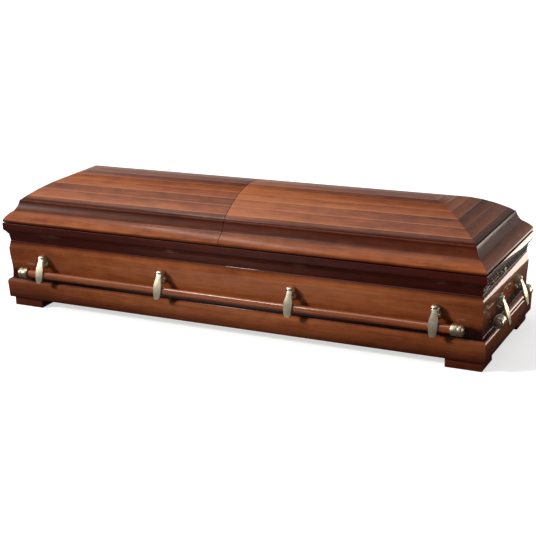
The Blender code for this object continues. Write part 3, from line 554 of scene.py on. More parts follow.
# %% Feet
# The feet are darkened all over through the toner attribute: painted shade under the box.
FOOT_ROUND, FOOT_PAINTED_SHADE = 0.002, 0.85


def foot_piece(name, low, high):
    """A rounded block: rings of an eased rectangle, drawn in near the top and bottom.

    A ring at depth d from the top or bottom is drawn in by r - sqrt(r^2 - (r - d)^2).
    """
    low, high = np.array(low), np.array(high)
    outline = np.array([(low[0], low[1]), (high[0], low[1]), (high[0], high[1]), (low[0], high[1])])
    centre, size = (low + high)[:2] / 2, (high - low)[:2] / 2
    ring = ease(outline, FOOT_ROUND)
    step = FOOT_ROUND * (1 - np.sin(np.linspace(0, np.pi / 2, 5)))
    heights = np.sort(np.concatenate([low[2] + step, high[2] - step]))
    depth = np.minimum(heights - low[2], high[2] - heights)
    short = np.maximum(FOOT_ROUND - depth, 0)
    inward = FOOT_ROUND - np.sqrt(np.maximum(FOOT_ROUND ** 2 - short ** 2, 0))
    scale = (size - inward[:, None]) / size
    flat = centre + (ring - centre)[None] * scale[:, None]
    points = np.dstack([flat, np.repeat(heights[:, None], len(ring), 1)]).reshape(-1, 3)
    faces, quads, ends = tube_faces(len(heights), len(ring))
    corners = points[np.append(quads, ends)]
    uv = np.column_stack([corners[:, 0], corners[:, 1] + corners[:, 2]])
    return make_piece(name, points, faces, uv, WOOD, "root", [name], toner_and_shade=FOOT_PAINTED_SHADE)


for name in ("foot_front_head", "foot_front_foot", "foot_back_head", "foot_back_foot"):
    low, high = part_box(name)
    foot_piece(name, low, high)
print("feet done, pieces:", len(made))

# %% [markdown]
# ## Lid mouldings
# Each half lid has a moulding on three sides: a small lip, a nose, a broad rounded band, a cove, a
# bead, then the groove and fillet that the crown sits on. It is one section swept round a U with
# mitred corners. A plain rail closes the open end, at the split, and the wood shows when a lid is up.

# %% Lid moulding
def lid_face():
    """The showing face from the underside up: lip, nose, convex band, cove, bead, groove, fillet."""
    lip, nose = (0.0045, LID_BOTTOM), (0.0, LID_BOTTOM + 0.0056)
    nose_top = (0.0, nose[1] + 0.0060)
    band = (0.0350, nose_top[1] + 0.0335)
    cove = (band[0] + 0.0190, band[1] + 0.0405)
    bead = (cove[0] + 0.0040, cove[1] + 0.0014)
    groove = (bead[0] + 0.0013, bead[1] - 0.0026)
    fillet = (bead[0] + 0.0026, LID_TOP - 0.0065)
    crown = (fillet[0] + 0.0065, LID_TOP)
    chamfer = (crown[0] - 0.0030, crown[1] - 0.0030)
    return np.vstack([lip, arc(lip, nose, 0.0014, 6), nose_top, arc(nose_top, band, 0.0028, 16),
                      arc(band, cove, -0.0030, 16), arc(cove, bead, 0.0014, 8), groove, fillet,
                      chamfer, crown])


def lid_back():
    """The hidden back, from the crown's seat down to the underside."""
    seat, knee, heel = lid_face()[-1][0] + 0.020, 0.061, 0.0305
    return np.array([(seat, LID_TOP), (seat, LID_TOP - 0.018), (knee, LID_BOTTOM + 0.0451),
                     (heel, LID_BOTTOM + 0.0116), (heel, LID_BOTTOM)])


LID_SECTION = ease(np.vstack([lid_face(), lid_back()]), 0.0012)
# Toner in the cove, with painted shade under the lip and in the cove, and a painted shadow line in the
# groove and fillet above the bead.
LID_TONER_AND_SHADE = [(0.362, 0.368, 0.3735, 0.379, 0.398, 0.405, 0.409, 0.436, 0.443, 0.4475, 0.4489, 0.4496, 0.4555,
              0.458), (0.97, 0.70, 0.10, 0.0, 0.15, 0.40, 0.76, 0.86, 1.0, 0.55, 0.60, 1.0, 1.0, 0.30)]


def around_lid(inset, height, end, start_x):
    """The four corners of the U for each point of a section: front, round the end, and back."""
    near, far = np.full_like(inset, start_x), end * (LENGTH / 2 - inset)
    y = np.array([-1, -1, 1, 1])[:, None] * (WIDTH / 2 - inset)
    return np.stack([np.stack([near, far, far, near]), y, np.tile(height, (4, 1))], -1)


LEG_STEP, BOARD_THICK = 1.9, 0.018


def moulding_piece(name, end, split, body):
    """The lid's section at the four corners of the U, its U running along each leg in turn."""
    inset, height = LID_SECTION.T
    points = around_lid(inset, height, end, split).reshape(-1, 3)
    faces, quads, ends = tube_faces(4, len(inset))
    leg = np.repeat([0, 1, 2], len(inset))[:, None]
    along = np.where(leg == 1, points[quads][..., 1], points[quads][..., 0]) + LEG_STEP * leg
    quad_uv = np.stack([along, girth(LID_SECTION, 3)], -1).reshape(-1, 2)
    uv = np.vstack([quad_uv, points[ends][:, 1:]])
    shade = np.tile(np.interp(height, *LID_TONER_AND_SHADE), 4)
    return make_piece(name, points, faces, uv, LID_WOOD, body, [name],
                      flip=end > 0, toner_and_shade=shade)


def header_piece(name, end, split, body, node):
    """The rail that closes the moulding at the split: the back's outline, mirrored and drawn out."""
    back = lid_back()
    half = np.column_stack([WIDTH / 2 - back[:, 0] - GAP, back[:, 1]])
    half[0, 1] -= GAP
    outline = np.vstack([half, (half * (-1, 1))[::-1]])
    x = np.repeat([split, split + end * BOARD_THICK], len(outline))
    points = np.column_stack([x, np.tile(outline, (2, 1))])
    faces, quads, ends = tube_faces(2, len(outline))
    uv = points[np.append(quads, ends)][:, 1:]
    return make_piece(name, points, faces, uv, LID_WOOD, body, [node], flip=end < 0)


LIDS = ((-1, "head_lid"), (1, "foot_lid"))
for end, lid in LIDS:
    split = SPLIT_X + end * LID_END_GAP / 2
    moulding_piece(lid + "_moulding", end, split, lid)
    header_piece(lid + "_header", end, split, lid, lid + "_moulding")
print("lid mouldings done, section points:", len(LID_SECTION))

# %% [markdown]
# ## The crown
# The vault is a parabola, steep at its edge and level at the ridge, with the same curve brought down
# over the end, so the two meet in a 45 degree hip. The height depends only on the distance in from
# the lid's edge, which makes the hip come out by itself. The staves are flats on that curve.

# %% Crown
CROWN_EDGE = lid_face()[-1][0] + GAP
CROWN_SHELL, CROWN_EDGE_WIDTH = 0.016, 0.0184
JOINT_EASE, JOINT_SINK = 0.006, 0.00018
# Painted shade on the crown: darker at its edge by the moulding and towards the ridge.
CROWN_TONER_AND_SHADE = [(CROWN_EDGE, CROWN_EDGE + 0.012, 0.24, WIDTH / 2), (0.30, 0.0, 0.0, 0.35)]


def vault(inset):
    """Height of the vault: rise * s * (2 - s), with s the share of the way from edge to ridge."""
    s = (inset - CROWN_EDGE) / (WIDTH / 2 - CROWN_EDGE)
    return CROWN_BOTTOM + CROWN_RISE * s * (2 - s)


def crown_outside():
    """Staves as chords of the vault between their joints, with each joint eased over 6 mm."""
    joints = np.concatenate([[CROWN_EDGE], STAVE_JOINTS, [WIDTH / 2]])
    spread = np.linspace(-JOINT_EASE, JOINT_EASE, 5)
    inset = np.unique(np.concatenate([[CROWN_EDGE, WIDTH / 2], (STAVE_JOINTS[:, None] + spread).ravel(),
                                      (joints[1:] + joints[:-1]) / 2]))
    chord = np.interp(inset, joints, vault(joints))
    near = np.abs(inset[:, None] - STAVE_JOINTS).min(1)
    return np.column_stack([inset, chord - JOINT_SINK * np.clip(1 - near / JOINT_EASE, 0, 1) ** 2])


def crown_inside():
    """The same curve one shell thickness in, starting flush with the moulding's seat."""
    inset = np.linspace(CROWN_EDGE + CROWN_EDGE_WIDTH, WIDTH / 2, 16)
    slope = 2 * CROWN_RISE * (WIDTH / 2 - inset) / (WIDTH / 2 - CROWN_EDGE) ** 2
    height = vault(inset) - CROWN_SHELL * np.sqrt(1 + slope ** 2)
    height[0] = CROWN_BOTTOM
    return np.column_stack([inset, height])


def crown_piece(name, end, split, body):
    """Outer and inner vaults joined round the edge, with a closing board at the split.

    A vault is rows of four corners, one row to an inset. Its last row is the two ends of the ridge,
    each used twice, so the face at the point of the hips drops a corner and is a triangle.
    """
    verts, insets, rows = [], [], []
    for profile, start_x in ((crown_outside(), split), (crown_inside(), split + end * BOARD_THICK)):
        inset, height = profile[:-1].T
        points = around_lid(inset, height, end, start_x).transpose(1, 0, 2).reshape(-1, 3)
        ridge = [(start_x, 0, profile[-1, 1]), (end * (LENGTH - WIDTH) / 2, 0, profile[-1, 1])]
        index = np.append(np.arange(len(points)), len(points) + np.array([0, 1, 1, 0]))
        rows.append(index.reshape(-1, 4) + sum(map(len, verts)))
        verts.append(np.vstack([points, ridge]))
        insets.append(np.append(np.repeat(inset, 4), [WIDTH / 2] * 2))
    verts, insets = np.vstack(verts), np.concatenate(insets)
    leg = np.arange(3)[:, None]
    faces, uv = [], []
    for row, flip in zip(rows, (end > 0, end < 0)):
        quads = np.stack([row[:-1, :-1], row[:-1, 1:], row[1:, 1:], row[1:, :-1]], -1)
        quads = quads[..., ::-1] if flip else quads
        keep = np.ones(quads.shape, bool)
        keep[-1, 1, 0 if flip else 3] = False
        along = np.where(leg == 1, verts[quads][..., 1], verts[quads][..., 0]) + LEG_STEP * leg
        faces += [quad[kept] for quad, kept in zip(quads.reshape(-1, 4), keep.reshape(-1, 4))]
        uv.append(np.stack([along, insets[quads]], -1)[keep])
    outer, inner = rows
    edge = np.stack([np.roll(outer[0], -1), outer[0], inner[0], np.roll(inner[0], -1)], -1)
    boards = [np.append(row[:, 0], row[:-1, 3][::-1]) for row in rows]
    rest = [face[::-1] if end > 0 else face for face in (*edge, boards[0][::-1], boards[1])]
    uv.append(verts[np.concatenate(rest)][:, 1:])
    piece = make_piece(name, verts, [tuple(face.tolist()) for face in faces + rest], np.vstack(uv),
                       CROWN_WOOD, body, [name], sharp=20,
                       toner_and_shade=np.interp(insets, *CROWN_TONER_AND_SHADE))
    write_values(piece.data, "across", insets)


for end, lid in LIDS:
    crown_piece(lid + "_crown", end, SPLIT_X + end * LID_END_GAP / 2, lid)
print("crowns done")

# %% [markdown]
# ## Cast hardware
# The ears, arms and tips are castings in a pale antique gold. The casting skin is faintly uneven, the
# colour clouded with darker patches, and the highlights are broad. The brass of the hinge, which is
# seldom seen, is plain and duller.

# %% Metal materials
def build_patina_group():
    """Plating that varies: a slow cloud at 40 per metre and a fine casting skin at 900 per metre."""
    inputs = [("Place", "NodeSocketVector", None), ("Bright", "NodeSocketColor", (0.8, 0.7, 0.5, 1)),
              ("Dull", "NodeSocketColor", (0.4, 0.33, 0.22, 1)), ("Wear", "NodeSocketFloat", 0.5)]
    group, source, sink = new_group("cast_patina", inputs,
                                    [("Color", "NodeSocketColor"), ("Roughness", "NodeSocketFloat"),
                                     ("Height", "NodeSocketFloat")])
    w = Wiring(group)
    cloud = w.noise(source.outputs["Place"], 40.0, 3.0, 0.6)
    skin = w.noise(source.outputs["Place"], 900.0, 2.0, 0.5)
    speck = w.noise(source.outputs["Place"], 260.0, 2.0, 0.6)
    mask = w.math("MULTIPLY", w.span(w.math("MULTIPLY_ADD", speck, 0.5, w.math("MULTIPLY", cloud, 0.5)),
                                     0.62, 0.38), source.outputs["Wear"])
    w.join(w.mix(mask, source.outputs["Bright"], source.outputs["Dull"]), sink.inputs["Color"])
    w.join(w.span(skin, 0.3, 0.7, 0.24, 0.40), sink.inputs["Roughness"])
    w.join(w.math("MULTIPLY_ADD", speck, 0.8, skin), sink.inputs["Height"])
    return group


PATINA = build_patina_group()


def plated(name, bright, dull, wear, bump):
    material, w, shader = start_material(name, 0.32, metallic=1.0)
    place = w.node("TexCoord").outputs["Object"]
    patina = add_group(w, PATINA, Place=place, Bright=bright, Dull=dull, Wear=wear)
    w.join(patina.outputs["Color"], shader.inputs["Base Color"])
    w.join(patina.outputs["Roughness"], shader.inputs["Roughness"])
    add_bump(w, shader, patina.outputs["Height"], bump, 0.0003)
    return material


CAST = plated("antique_gold_casting", (0.88, 0.79, 0.61, 1), (0.54, 0.44, 0.29, 1), 0.7, 0.25)
HINGE = plated("hinge_brass", (0.62, 0.50, 0.28, 1), (0.34, 0.26, 0.14, 1), 0.6, 0.1)


def bare_board(name):
    """Unfinished board for the bottom, its grain along X on Object coordinates."""
    material, w, shader = start_material(name, 0.7)
    place = w.node("TexCoord").outputs["Object"]
    grain = add_group(w, GRAIN, Board=place, Dark=(0.22, 0.12, 0.06, 1), Middle=(0.42, 0.27, 0.15, 1),
                      Light=(0.60, 0.43, 0.27, 1))
    w.join(grain.outputs["Color"], shader.inputs["Base Color"])
    add_bump(w, shader, grain.outputs["Height"], 0.2, 0.0003)
    return material


for name in ("hinge_leaf_body", "head_lid_hinge_leaf", "foot_lid_hinge_leaf"):
    dress(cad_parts[name].data, HINGE)
dress(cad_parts["bottom_board"].data, bare_board("bare_board"))
print("metal and board materials done")

# %% [markdown]
# ## Handles
# A handle is a long bar hung on arms that swing in ears on the wall. An ear is a hood over a slot,
# on a small plate with two round bosses. An arm is a leaf that springs from a barrel in the slot,
# widens, crosses the bar and ends in a short tongue. All are drawn about the pivot: X along the
# wall, -Y outwards, +Z up.

# %% Handle sizes and helpers
PIVOT_HEIGHT, BAR_OUT, BAR_HEIGHT, BAR_RADIUS = 0.2155, 0.0120, 0.157, 0.015
BAR_UP = BAR_HEIGHT - PIVOT_HEIGHT
HANDLES = {"front": (4, 1.694, 0.0650), "back": (4, 1.694, 0.0650),
           "head": (2, 0.240, 0.0435), "foot": (2, 0.240, 0.0435)}


def closed_mesh(name, rings):
    """Rings of points, shape (rings, points, 3), as a closed tube with flat ends."""
    rings = np.asarray(rings, float)
    faces = tube_faces(*rings.shape[:2])[0]
    mesh = bpy.data.meshes.new(name)
    mesh.from_pydata(rings.reshape(-1, 3).tolist(), [], faces)
    work = bmesh.new()
    work.from_mesh(mesh)
    bmesh.ops.remove_doubles(work, verts=work.verts, dist=1e-6)
    bmesh.ops.recalc_face_normals(work, faces=work.faces)
    work.to_mesh(mesh)
    work.free()
    return mesh


def combine(mesh, other, operation):
    """One exact Boolean between two meshes, as a new mesh."""
    target = bpy.data.objects.new("target", mesh)
    tool = bpy.data.objects.new("tool", other)
    bpy.context.collection.objects.link(target)
    bpy.context.collection.objects.link(tool)
    boolean = target.modifiers.new("boolean", "BOOLEAN")
    boolean.operation, boolean.solver, boolean.object = operation, "EXACT", tool
    bpy.context.view_layer.update()
    evaluated = target.evaluated_get(bpy.context.evaluated_depsgraph_get())
    result = bpy.data.meshes.new_from_object(evaluated)
    bpy.data.objects.remove(target, do_unlink=True)
    bpy.data.objects.remove(tool, do_unlink=True)
    return result


def prism(name, outline, x0, x1):
    """An outline of (y, z) points drawn out along X."""
    outline = np.asarray(outline, float)
    x = np.repeat(np.array([x0, x1])[:, None], len(outline), 1)
    return closed_mesh(name, np.dstack([x, np.repeat(outline[None], 2, 0)]))


def lathe(profile, sides=48, centre=(0.0, 0.0)):
    """A profile of (radius, x) points turned about a line along X, closed at both ends."""
    radius, x = np.asarray(profile, float).T[..., None]
    angle = np.linspace(0, 2 * np.pi, sides, endpoint=False)
    rings = np.stack([np.repeat(x, sides, 1), centre[0] + radius * np.cos(angle),
                      centre[1] + radius * np.sin(angle)], -1)
    return closed_mesh("lathe", rings)


def round_bar(radius, x0, x1, centre=(0.0, 0.0), sides=40, rounding=0.0):
    """A cylinder along X with eased ends: radius drops by a quarter circle over the last rounding."""
    step = np.linspace(0, np.pi / 2, 5) if rounding else np.array([np.pi / 2])
    drop, back = rounding * (1 - np.sin(step)), rounding * (1 - np.cos(step))
    near, far = np.column_stack([radius - drop, x0 + back]), np.column_stack([radius - drop, x1 - back])
    return lathe(np.vstack([near, far[::-1]]), sides, centre)


print("handle helpers ready")

# %% [markdown]
# ## Ears
# The hood is a rounded dome over a straight skirt, on a small plate. In plan every level is a squared
# half ellipse, so one formula draws them all. The slot is cut through it with one exact Boolean, and
# the pin and the two bosses are joined on.

# %% Ear
EAR_HALF, EAR_REACH, EAR_SPRING, EAR_RISE = 0.0185, 0.0130, 0.0060, 0.0150
EAR_SQUARE, EAR_FRONT_FALL, EAR_SIDE_FALL = 3.0, 0.4, 0.75
EAR_BEHIND, PLATE_REACH = 0.0040, 0.0040 - 0.0121
KNUCKLE_RADIUS, KNUCKLE_WIDTH, SLOT_CLEARANCE = 0.0100, 0.0215, 0.0015
SLOT_FLOOR, SLOT_DEPTH, SLOT_RISE, PIN_RADIUS = -0.0125, -0.030, 0.004, 0.0035
BOSS_RADIUS, BOSS_ACROSS, BOSS_SUNK, BOSS_DROP = 0.0058, 0.0130, 0.0030, 0.0225
WALL_INSET, PANEL_BACK, WALL_HALF = 0.0162, 0.036, 0.035


def ear_ring(height, half, reach, steps=28):
    """A squared half ellipse in plan, closed behind the wall's face.

    x = half sign(cos a) |cos a|^(2/n), y = wall - (wall + reach) |sin a|^(2/n), with n = EAR_SQUARE.
    """
    a = np.linspace(0, np.pi, steps + 1)
    power = 2 / EAR_SQUARE
    x = half * np.sign(np.cos(a)) * np.abs(np.cos(a)) ** power
    ring = np.column_stack([x, WALL_INSET - (WALL_INSET + reach) * np.sin(a).clip(0) ** power])
    behind = WALL_INSET + EAR_BEHIND
    ring = np.vstack([(half, behind), ring, (-half, behind)])
    return np.column_stack([ring, np.full(len(ring), height)])


def ear_shape():
    """Plate, skirt and hood as levels, less the wall and the slot, plus the pin and two bosses."""
    plate = [(-0.0290, 0.0125), (-0.0286, 0.0142), (-0.0265, 0.0170), (-0.0240, EAR_HALF),
             (-0.0078, EAR_HALF)]
    levels = [(height, half, PLATE_REACH) for height, half in plate]
    levels += [(-0.0075, EAR_HALF - 0.0006, 0.0103), (-0.0069, EAR_HALF, 0.0110),
               (-0.0020, EAR_HALF, 0.0118), (EAR_SPRING, EAR_HALF, EAR_REACH)]
    lift = np.radians(np.linspace(0, 78, 13))[1:]
    levels += zip(EAR_SPRING + EAR_RISE * np.sin(lift), EAR_HALF * np.cos(lift) ** EAR_SIDE_FALL,
                  (WALL_INSET + EAR_REACH) * np.cos(lift) ** EAR_FRONT_FALL - WALL_INSET)
    ear = closed_mesh("ear", [ear_ring(*level) for level in levels])
    wall = panel_section()[2:-3] - (GAP, PIVOT_HEIGHT)
    wall = np.vstack([wall, [(PANEL_BACK, wall[-1, 1]), (PANEL_BACK, wall[0, 1])]])
    ear = combine(ear, prism("wall", wall, -WALL_HALF, WALL_HALF), "DIFFERENCE")
    a = np.linspace(0, np.pi, 17)
    radius, half = KNUCKLE_RADIUS + SLOT_CLEARANCE, KNUCKLE_WIDTH / 2 + SLOT_CLEARANCE
    room = np.vstack([[(0.0, SLOT_FLOOR), (SLOT_DEPTH, SLOT_FLOOR), (SLOT_DEPTH, radius + SLOT_RISE)],
                      np.column_stack([radius * np.sin(a), radius * np.cos(a)])])
    ear = combine(ear, prism("slot", room, -half, half), "DIFFERENCE")
    ear = combine(ear, round_bar(PIN_RADIUS, -half - 0.001, half + 0.001, sides=24), "UNION")
    turn = np.linspace(0, np.pi, 13)
    for x in (-BOSS_ACROSS, BOSS_ACROSS):
        boss = lathe(np.column_stack([BOSS_RADIUS * np.sin(turn), -BOSS_RADIUS * np.cos(turn)]), 24)
        boss.transform(Matrix.Translation((x, -PLATE_REACH - BOSS_SUNK, -BOSS_DROP)))
        ear = combine(ear, boss, "UNION")
    return ear


ear = ear_shape()
print("ear faces:", len(ear.polygons))

# %% [markdown]
# ## Arms
# A leaf of metal: its middle line is a smooth curve through seven stations, its width swells and
# narrows along it, and its front is slightly crowned with a bevel down each edge. Behind the bar's
# place a saddle wraps part of the bar.

# %% Arm
def smooth_line(stations, steps):
    """A Catmull-Rom curve through the stations, steps points to each span."""
    p = np.vstack([2 * stations[0] - stations[1], stations, 2 * stations[-1] - stations[-2]])
    t = np.linspace(0, 1, steps, endpoint=False)[None, :, None]
    a, b, c, d = p[:-3, None], p[1:-2, None], p[2:-1, None], p[3:, None]
    square, cube = 2 * a - 5 * b + 4 * c - d, 3 * b - a - 3 * c + d
    curve = 0.5 * (2 * b + (c - a) * t + square * t ** 2 + cube * t ** 3)
    return np.vstack([curve.reshape(-1, stations.shape[1]), stations[-1:]])


ARM_THICK, ARM_BEVEL, ARM_CROWN, ARM_SUNK = 0.0045, 0.0022, 0.0006, 0.0004
ARM_TIP_WIDTH, ARM_WIDTH, KNUCKLE_ROUND = 0.0160, 0.0365, 0.0012
BORE_RADIUS, SADDLE_WALL, SADDLE_HALF = 0.0040, 0.0035, 0.012


def arm_shape():
    """Leaf + barrel + saddle, less the bar's room and the pin's bore."""
    half_thick = ARM_THICK / 2
    bar_face = BAR_OUT + BAR_RADIUS + GAP + half_thick
    stations = np.array([
        (0.0, KNUCKLE_RADIUS - half_thick, KNUCKLE_WIDTH), (0.0058, 0.0050, KNUCKLE_WIDTH),
        (0.0132, -0.0100, 0.0235), (0.0225, -0.0345, ARM_WIDTH), (bar_face, BAR_UP, 0.0342),
        (bar_face + 0.0036, -0.0770, 0.0290), (bar_face + 0.0058, -0.0877, 0.0185),
        (bar_face + 0.0060, -0.0885, ARM_TIP_WIDTH)])
    line = smooth_line(stations, 7)
    line[:, 2] = np.clip(line[:, 2], ARM_TIP_WIDTH, ARM_WIDTH)
    along = np.gradient(line[:, :2], axis=0)
    along /= np.hypot(*along.T)[:, None]
    normal = np.column_stack([-along[:, 1], along[:, 0]])
    edge, face = half_thick - ARM_BEVEL * 0.7, half_thick - ARM_BEVEL * 0.1
    swell, ridge = half_thick + ARM_CROWN * 0.6 - ARM_SUNK, half_thick + ARM_CROWN - ARM_SUNK
    lateral = np.array([-1, -1, -1, -0.92, -0.5, 0, 0.5, 0.92, 1, 1, 1])
    depth = np.array([-half_thick, 0, edge, face, swell, ridge, swell, face, edge, 0, -half_thick])
    x = line[:, 2:3] / 2 * lateral
    out = line[:, :1] + normal[:, :1] * depth
    up = line[:, 1:2] + normal[:, 1:] * depth
    arm = closed_mesh("arm", np.stack([x, -out, up], -1))
    half = KNUCKLE_WIDTH / 2
    arm = combine(arm, round_bar(KNUCKLE_RADIUS, -half, half, rounding=KNUCKLE_ROUND), "UNION")
    outer = BAR_RADIUS + GAP + SADDLE_WALL
    a = np.radians(np.linspace(-60, 60, 19))
    saddle = np.column_stack([-BAR_OUT - outer * np.cos(a), BAR_UP + outer * np.sin(a)])
    arm = combine(arm, prism("saddle", saddle, -SADDLE_HALF, SADDLE_HALF), "UNION")
    bore = round_bar(BORE_RADIUS, -half - 0.01, half + 0.01, sides=24)
    room = round_bar(BAR_RADIUS + GAP, -0.04, 0.04, (-BAR_OUT, BAR_UP), sides=56)
    return combine(combine(arm, bore, "DIFFERENCE"), room, "DIFFERENCE")


arm = arm_shape()
print("arm faces:", len(arm.polygons))

# %% [markdown]
# ## Bars and tips
# The bar is turned wood under the same lacquer. Each end is closed by a cast cap: a plain collar, a
# groove, a rounded head with a ring and a low dome on its face. A cap is one turned profile.

# %% Bars, tips and the assembly
BAR_SIDES, CAST_SHARP = 48, 38
TIP_LENGTH, DOME_RADIUS, DOME_RISE = 0.0415, 0.0128, 0.0030


def tip_shape():
    """Collar, groove, head, ring and dome as one profile of (radius, x), eased at its corners."""
    profile = np.array([(0.0217, 0.0), (0.0220, 0.0010), (0.0220, 0.0222), (0.0193, 0.0236),
                        (0.0193, 0.0248), (0.0220, 0.0262), (0.0220, 0.0360), (0.0192, 0.0402),
                        (0.0167, TIP_LENGTH), (0.0157, 0.0404), (0.0142, 0.0404), (0.0132, TIP_LENGTH)])
    body = ease(profile, 0.0012, closed=False)
    a = np.linspace(0, np.pi / 2, 9)
    dome = np.column_stack([DOME_RADIUS * np.cos(a), TIP_LENGTH + DOME_RISE * np.sin(a)])
    return lathe(np.vstack([[(0.0, 0.0)], body, dome]))


def bar_piece(side, reach):
    """The bar as two rings: y = r cos a - out, z = r sin a + up, with U along it and V round it."""
    angle = np.linspace(0, 2 * np.pi, BAR_SIDES, endpoint=False)
    ring = np.column_stack([-BAR_OUT + BAR_RADIUS * np.cos(angle), BAR_UP + BAR_RADIUS * np.sin(angle)])
    points = np.column_stack([np.repeat([-reach, reach], BAR_SIDES), np.tile(ring, (2, 1))])
    wall, _, turn = SIDES[side]
    faces, quads, ends = tube_faces(2, BAR_SIDES)
    i = np.arange(BAR_SIDES)
    v = np.stack([i, i + 1, i + 1, i], -1) * (2 * np.pi * BAR_RADIUS / BAR_SIDES)
    uv = np.vstack([np.stack([points[quads][..., 0], v], -1).reshape(-1, 2), points[ends][:, 1:]])
    return make_piece(side + "_bar", turn_z(points + np.array([0, -wall, PIVOT_HEIGHT]), turn), faces,
                      uv, BAR_WOOD, side + "_handle", [side + "_bar"])


def cast_piece(name, mesh, side, along, body):
    """A copy of a casting drawn about the pivot, moved to its place on a side."""
    wall, _, turn = SIDES[side]
    copy = mesh.copy()
    copy.transform(Matrix.Rotation(turn, 4, "Z") @ Matrix.Translation((along, -wall, PIVOT_HEIGHT)))
    return place_piece(name, copy, CAST, body, [name], sharp=CAST_SHARP)


tip = tip_shape()
for side, (count, spread, overhang) in HANDLES.items():
    body = side + "_handle"
    places = np.linspace(-spread / 2, spread / 2, count)
    for number, along in enumerate(places, 1):
        cast_piece(f"ear_{side}_{number}", ear, side, along, "root")
        cast_piece(f"{side}_arm_{number}", arm, side, along, body)
    reach = places[-1] + overhang
    bar_piece(side, reach)
    for number, end in ((1, -1), (2, 1)):
        cap = tip.copy()
        spin = Matrix.Rotation(np.pi if end < 0 else 0.0, 4, "Z")
        cap.transform(Matrix.Translation((end * (reach + GAP), -BAR_OUT, BAR_UP)) @ spin)
        cast_piece(f"{side}_tip_{number}", cap, side, 0.0, body)
print("handles done, pieces:", len(made))

# %% [markdown]
# ## Key plate on the foot end
# The lid is locked with a key through a small round plate in the foot end's rim. It is too small to
# matter to the solids, so it is made here: a turned button with a sunk middle.

# %% Key plate
KEY_RADIUS, KEY_SEAT, KEY_SINK = 0.0086, -0.002, 0.0016
KEY_PLACE = (LENGTH / 2 - 0.0135, -0.030, 0.3035)


def key_plate():
    """A rim, a slope and a sunk middle as one profile of (radius, x), eased at its corners."""
    profile = np.array([(KEY_RADIUS, 0.0), (KEY_RADIUS, 0.0014), (0.0070, 0.0030), (0.0048, 0.0034),
                        (0.0040, 0.0028), (0.0030, 0.0028)])
    body = ease(profile, 0.0006, closed=False)
    disc = lathe(np.vstack([[(0.0, KEY_SEAT), (KEY_RADIUS, KEY_SEAT)], body,
                            [(0.0024, KEY_SINK), (0.0, KEY_SINK)]]), 40)
    disc.transform(Matrix.Translation(KEY_PLACE))
    return place_piece("key_plate", disc, CAST, "root", sharp=CAST_SHARP)


key_plate()
print("key plate done")

# %% [markdown]
# ## Studio
# A white floor under a white sky. The key is a soft sun from the front left. A large box of light
# hangs overhead, a narrow strip draws a line along the lid, and a warm card and a weak lamp on the
# right make the pale bands across the foot end. The camera sees a white floor, reflections see a
# painted pool of light on it before the casket that fades to dark, and little diffuse light bounces off it.

# %% Floor, lights and world
def stage_mesh(name, points, faces, material):
    mesh = bpy.data.meshes.new(name)
    mesh.from_pydata(points, [], faces)
    mesh.materials.append(material)
    thing = bpy.data.objects.new(name, mesh)
    bpy.context.collection.objects.link(thing)
    thing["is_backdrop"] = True
    return thing


LIGHT_POOL_X, LIGHT_POOL_Y = -0.22, -1.15

floor_material, w, shader = start_material("studio_floor", 0.9)
w.feed(shader, {"Specular IOR Level": 0.0, "Emission Color": (1, 1, 1, 1)})
path = w.node("LightPath").outputs
place = w.place()
far_x = w.math("POWER", w.math("SUBTRACT", place["X"], LIGHT_POOL_X), 2.0)
far_y = w.math("POWER", w.math("SUBTRACT", place["Y"], LIGHT_POOL_Y), 2.0)
# Reflections see a painted pool of light on the floor before the casket, fading to dark with distance.
painted_light_pool = w.span(w.math("SQRT", w.math("ADD", far_x, far_y)), 0.30, 0.80, 0.60, 0.08)
bounced = w.span(path["Is Diffuse Ray"], 0.0, 1.0, painted_light_pool, 0.25)
sees = w.span(path["Is Camera Ray"], 0.0, 1.0, bounced, 0.86)
w.join(w.mix(sees, (0, 0, 0, 1), (1, 1, 1, 1)), shader.inputs["Base Color"])
w.join(w.math("MULTIPLY", path["Is Camera Ray"], 0.62), shader.inputs["Emission Strength"])
stage_mesh("floor", [(-14, -14, 0), (14, -14, 0), (14, 14, 0), (-14, 14, 0)], [(0, 1, 2, 3)], floor_material)


def add_light(name, kind, place, target, strength, colour, size):
    """A lamp at a place that shines at a target; size is metres, or degrees for a sun."""
    light = bpy.data.lights.new(name, kind)
    light.energy, light.color = strength, colour
    if kind == "AREA":
        light.shape, light.size, light.size_y = "RECTANGLE", size[0], size[1]
    else:
        light.angle = np.radians(size[0])
    lamp = bpy.data.objects.new(name, light)
    bpy.context.collection.objects.link(lamp)
    lamp.location = place
    lamp.rotation_euler = (Vector(target) - Vector(place)).to_track_quat("-Z", "Y").to_euler()
    lamp.visible_camera = False


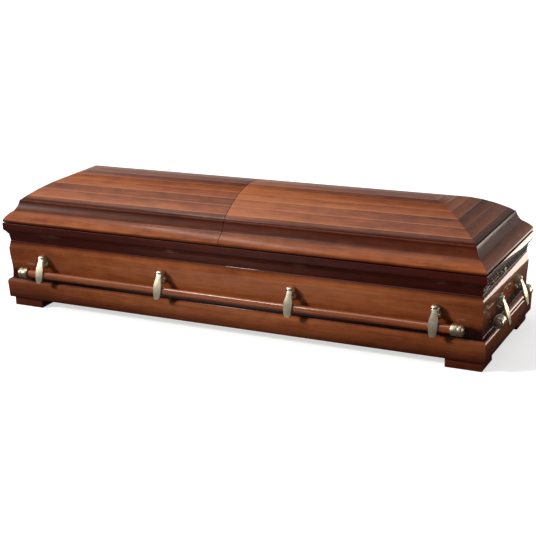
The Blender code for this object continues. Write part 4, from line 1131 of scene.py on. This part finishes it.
add_light("key", "SUN", (-7.8, -5.0, 4.0), (0, 0, 0), 3.1, (1.0, 0.965, 0.92), (9, 9))
add_light("overhead_box", "AREA", (-1.6, -0.15, 2.9), (-1.6, -0.15, 0), 28, (1.0, 0.97, 0.94), (3.6, 2.9))
add_light("strip", "AREA", (-1.53, -1.16, 3.1), (-0.1, -0.3, 0.15), 16, (1.0, 0.96, 0.90), (1.9, 0.16))
add_light("end_card", "AREA", (1.5, 1.15, 0.12), (1.2, 0.0, 0.25), 3.8, (1.0, 0.89, 0.77), (1.0, 0.32))
add_light("end_fill", "AREA", (3.2, 0.1, 0.25), (1.0, 0.1, 0.28), 14, (1.0, 0.95, 0.88), (0.7, 1.2))

world = bpy.data.worlds.new("studio")
bpy.context.scene.world = world
world.use_nodes = True
w = Wiring(world.node_tree)
sky = world.node_tree.nodes["Background"]
sky.inputs["Color"].default_value = (1, 1, 1, 1)
way = w.place("Generated")
low_sky = w.span(way["Z"], 0.24, 0.42, 1.0, 0.0)
behind = w.span(way["Y"], 0.2, 0.7, 0.0, 1.0)
overhead = w.span(way["Z"], 0.80, 0.96, 0.08, 0.55)
glow = w.math("MULTIPLY_ADD", w.math("MULTIPLY", low_sky, behind), 0.45, overhead)
is_camera = w.node("LightPath").outputs["Is Camera Ray"]
w.join(w.math("MAXIMUM", is_camera, glow), sky.inputs["Strength"])
bpy.context.scene.view_settings.view_transform = "Standard"
print("studio ready")

# %% [markdown]
# ## Camera
# Its place and lens come from fitting the casket's known edges to the photograph's frame of
# 536 by 536, so the picture can be compared edge by edge.

# %% Camera
YAW, PITCH, ROLL = 0.4694, -0.3078, -0.0347
forward = np.array([-np.sin(YAW) * np.cos(PITCH), np.cos(YAW) * np.cos(PITCH), np.sin(PITCH)])
level = np.array([np.cos(YAW), np.sin(YAW), 0.0])
upward = np.cross(level, forward)
right = level * np.cos(ROLL) + upward * np.sin(ROLL)
top = -level * np.sin(ROLL) + upward * np.cos(ROLL)
matrix = Matrix(np.column_stack([right, top, -forward]).tolist()).to_4x4()
matrix.translation = (2.1653, -4.1945, 1.6853)
camera = bpy.data.objects.new("camera", bpy.data.cameras.new("camera"))
bpy.context.collection.objects.link(camera)
camera.matrix_world = matrix
camera.data.sensor_width, camera.data.lens = 36.0, 82.46
camera.data.clip_end = 60.0
bpy.context.scene.camera = camera

# %% Sizes and finish
low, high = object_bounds()
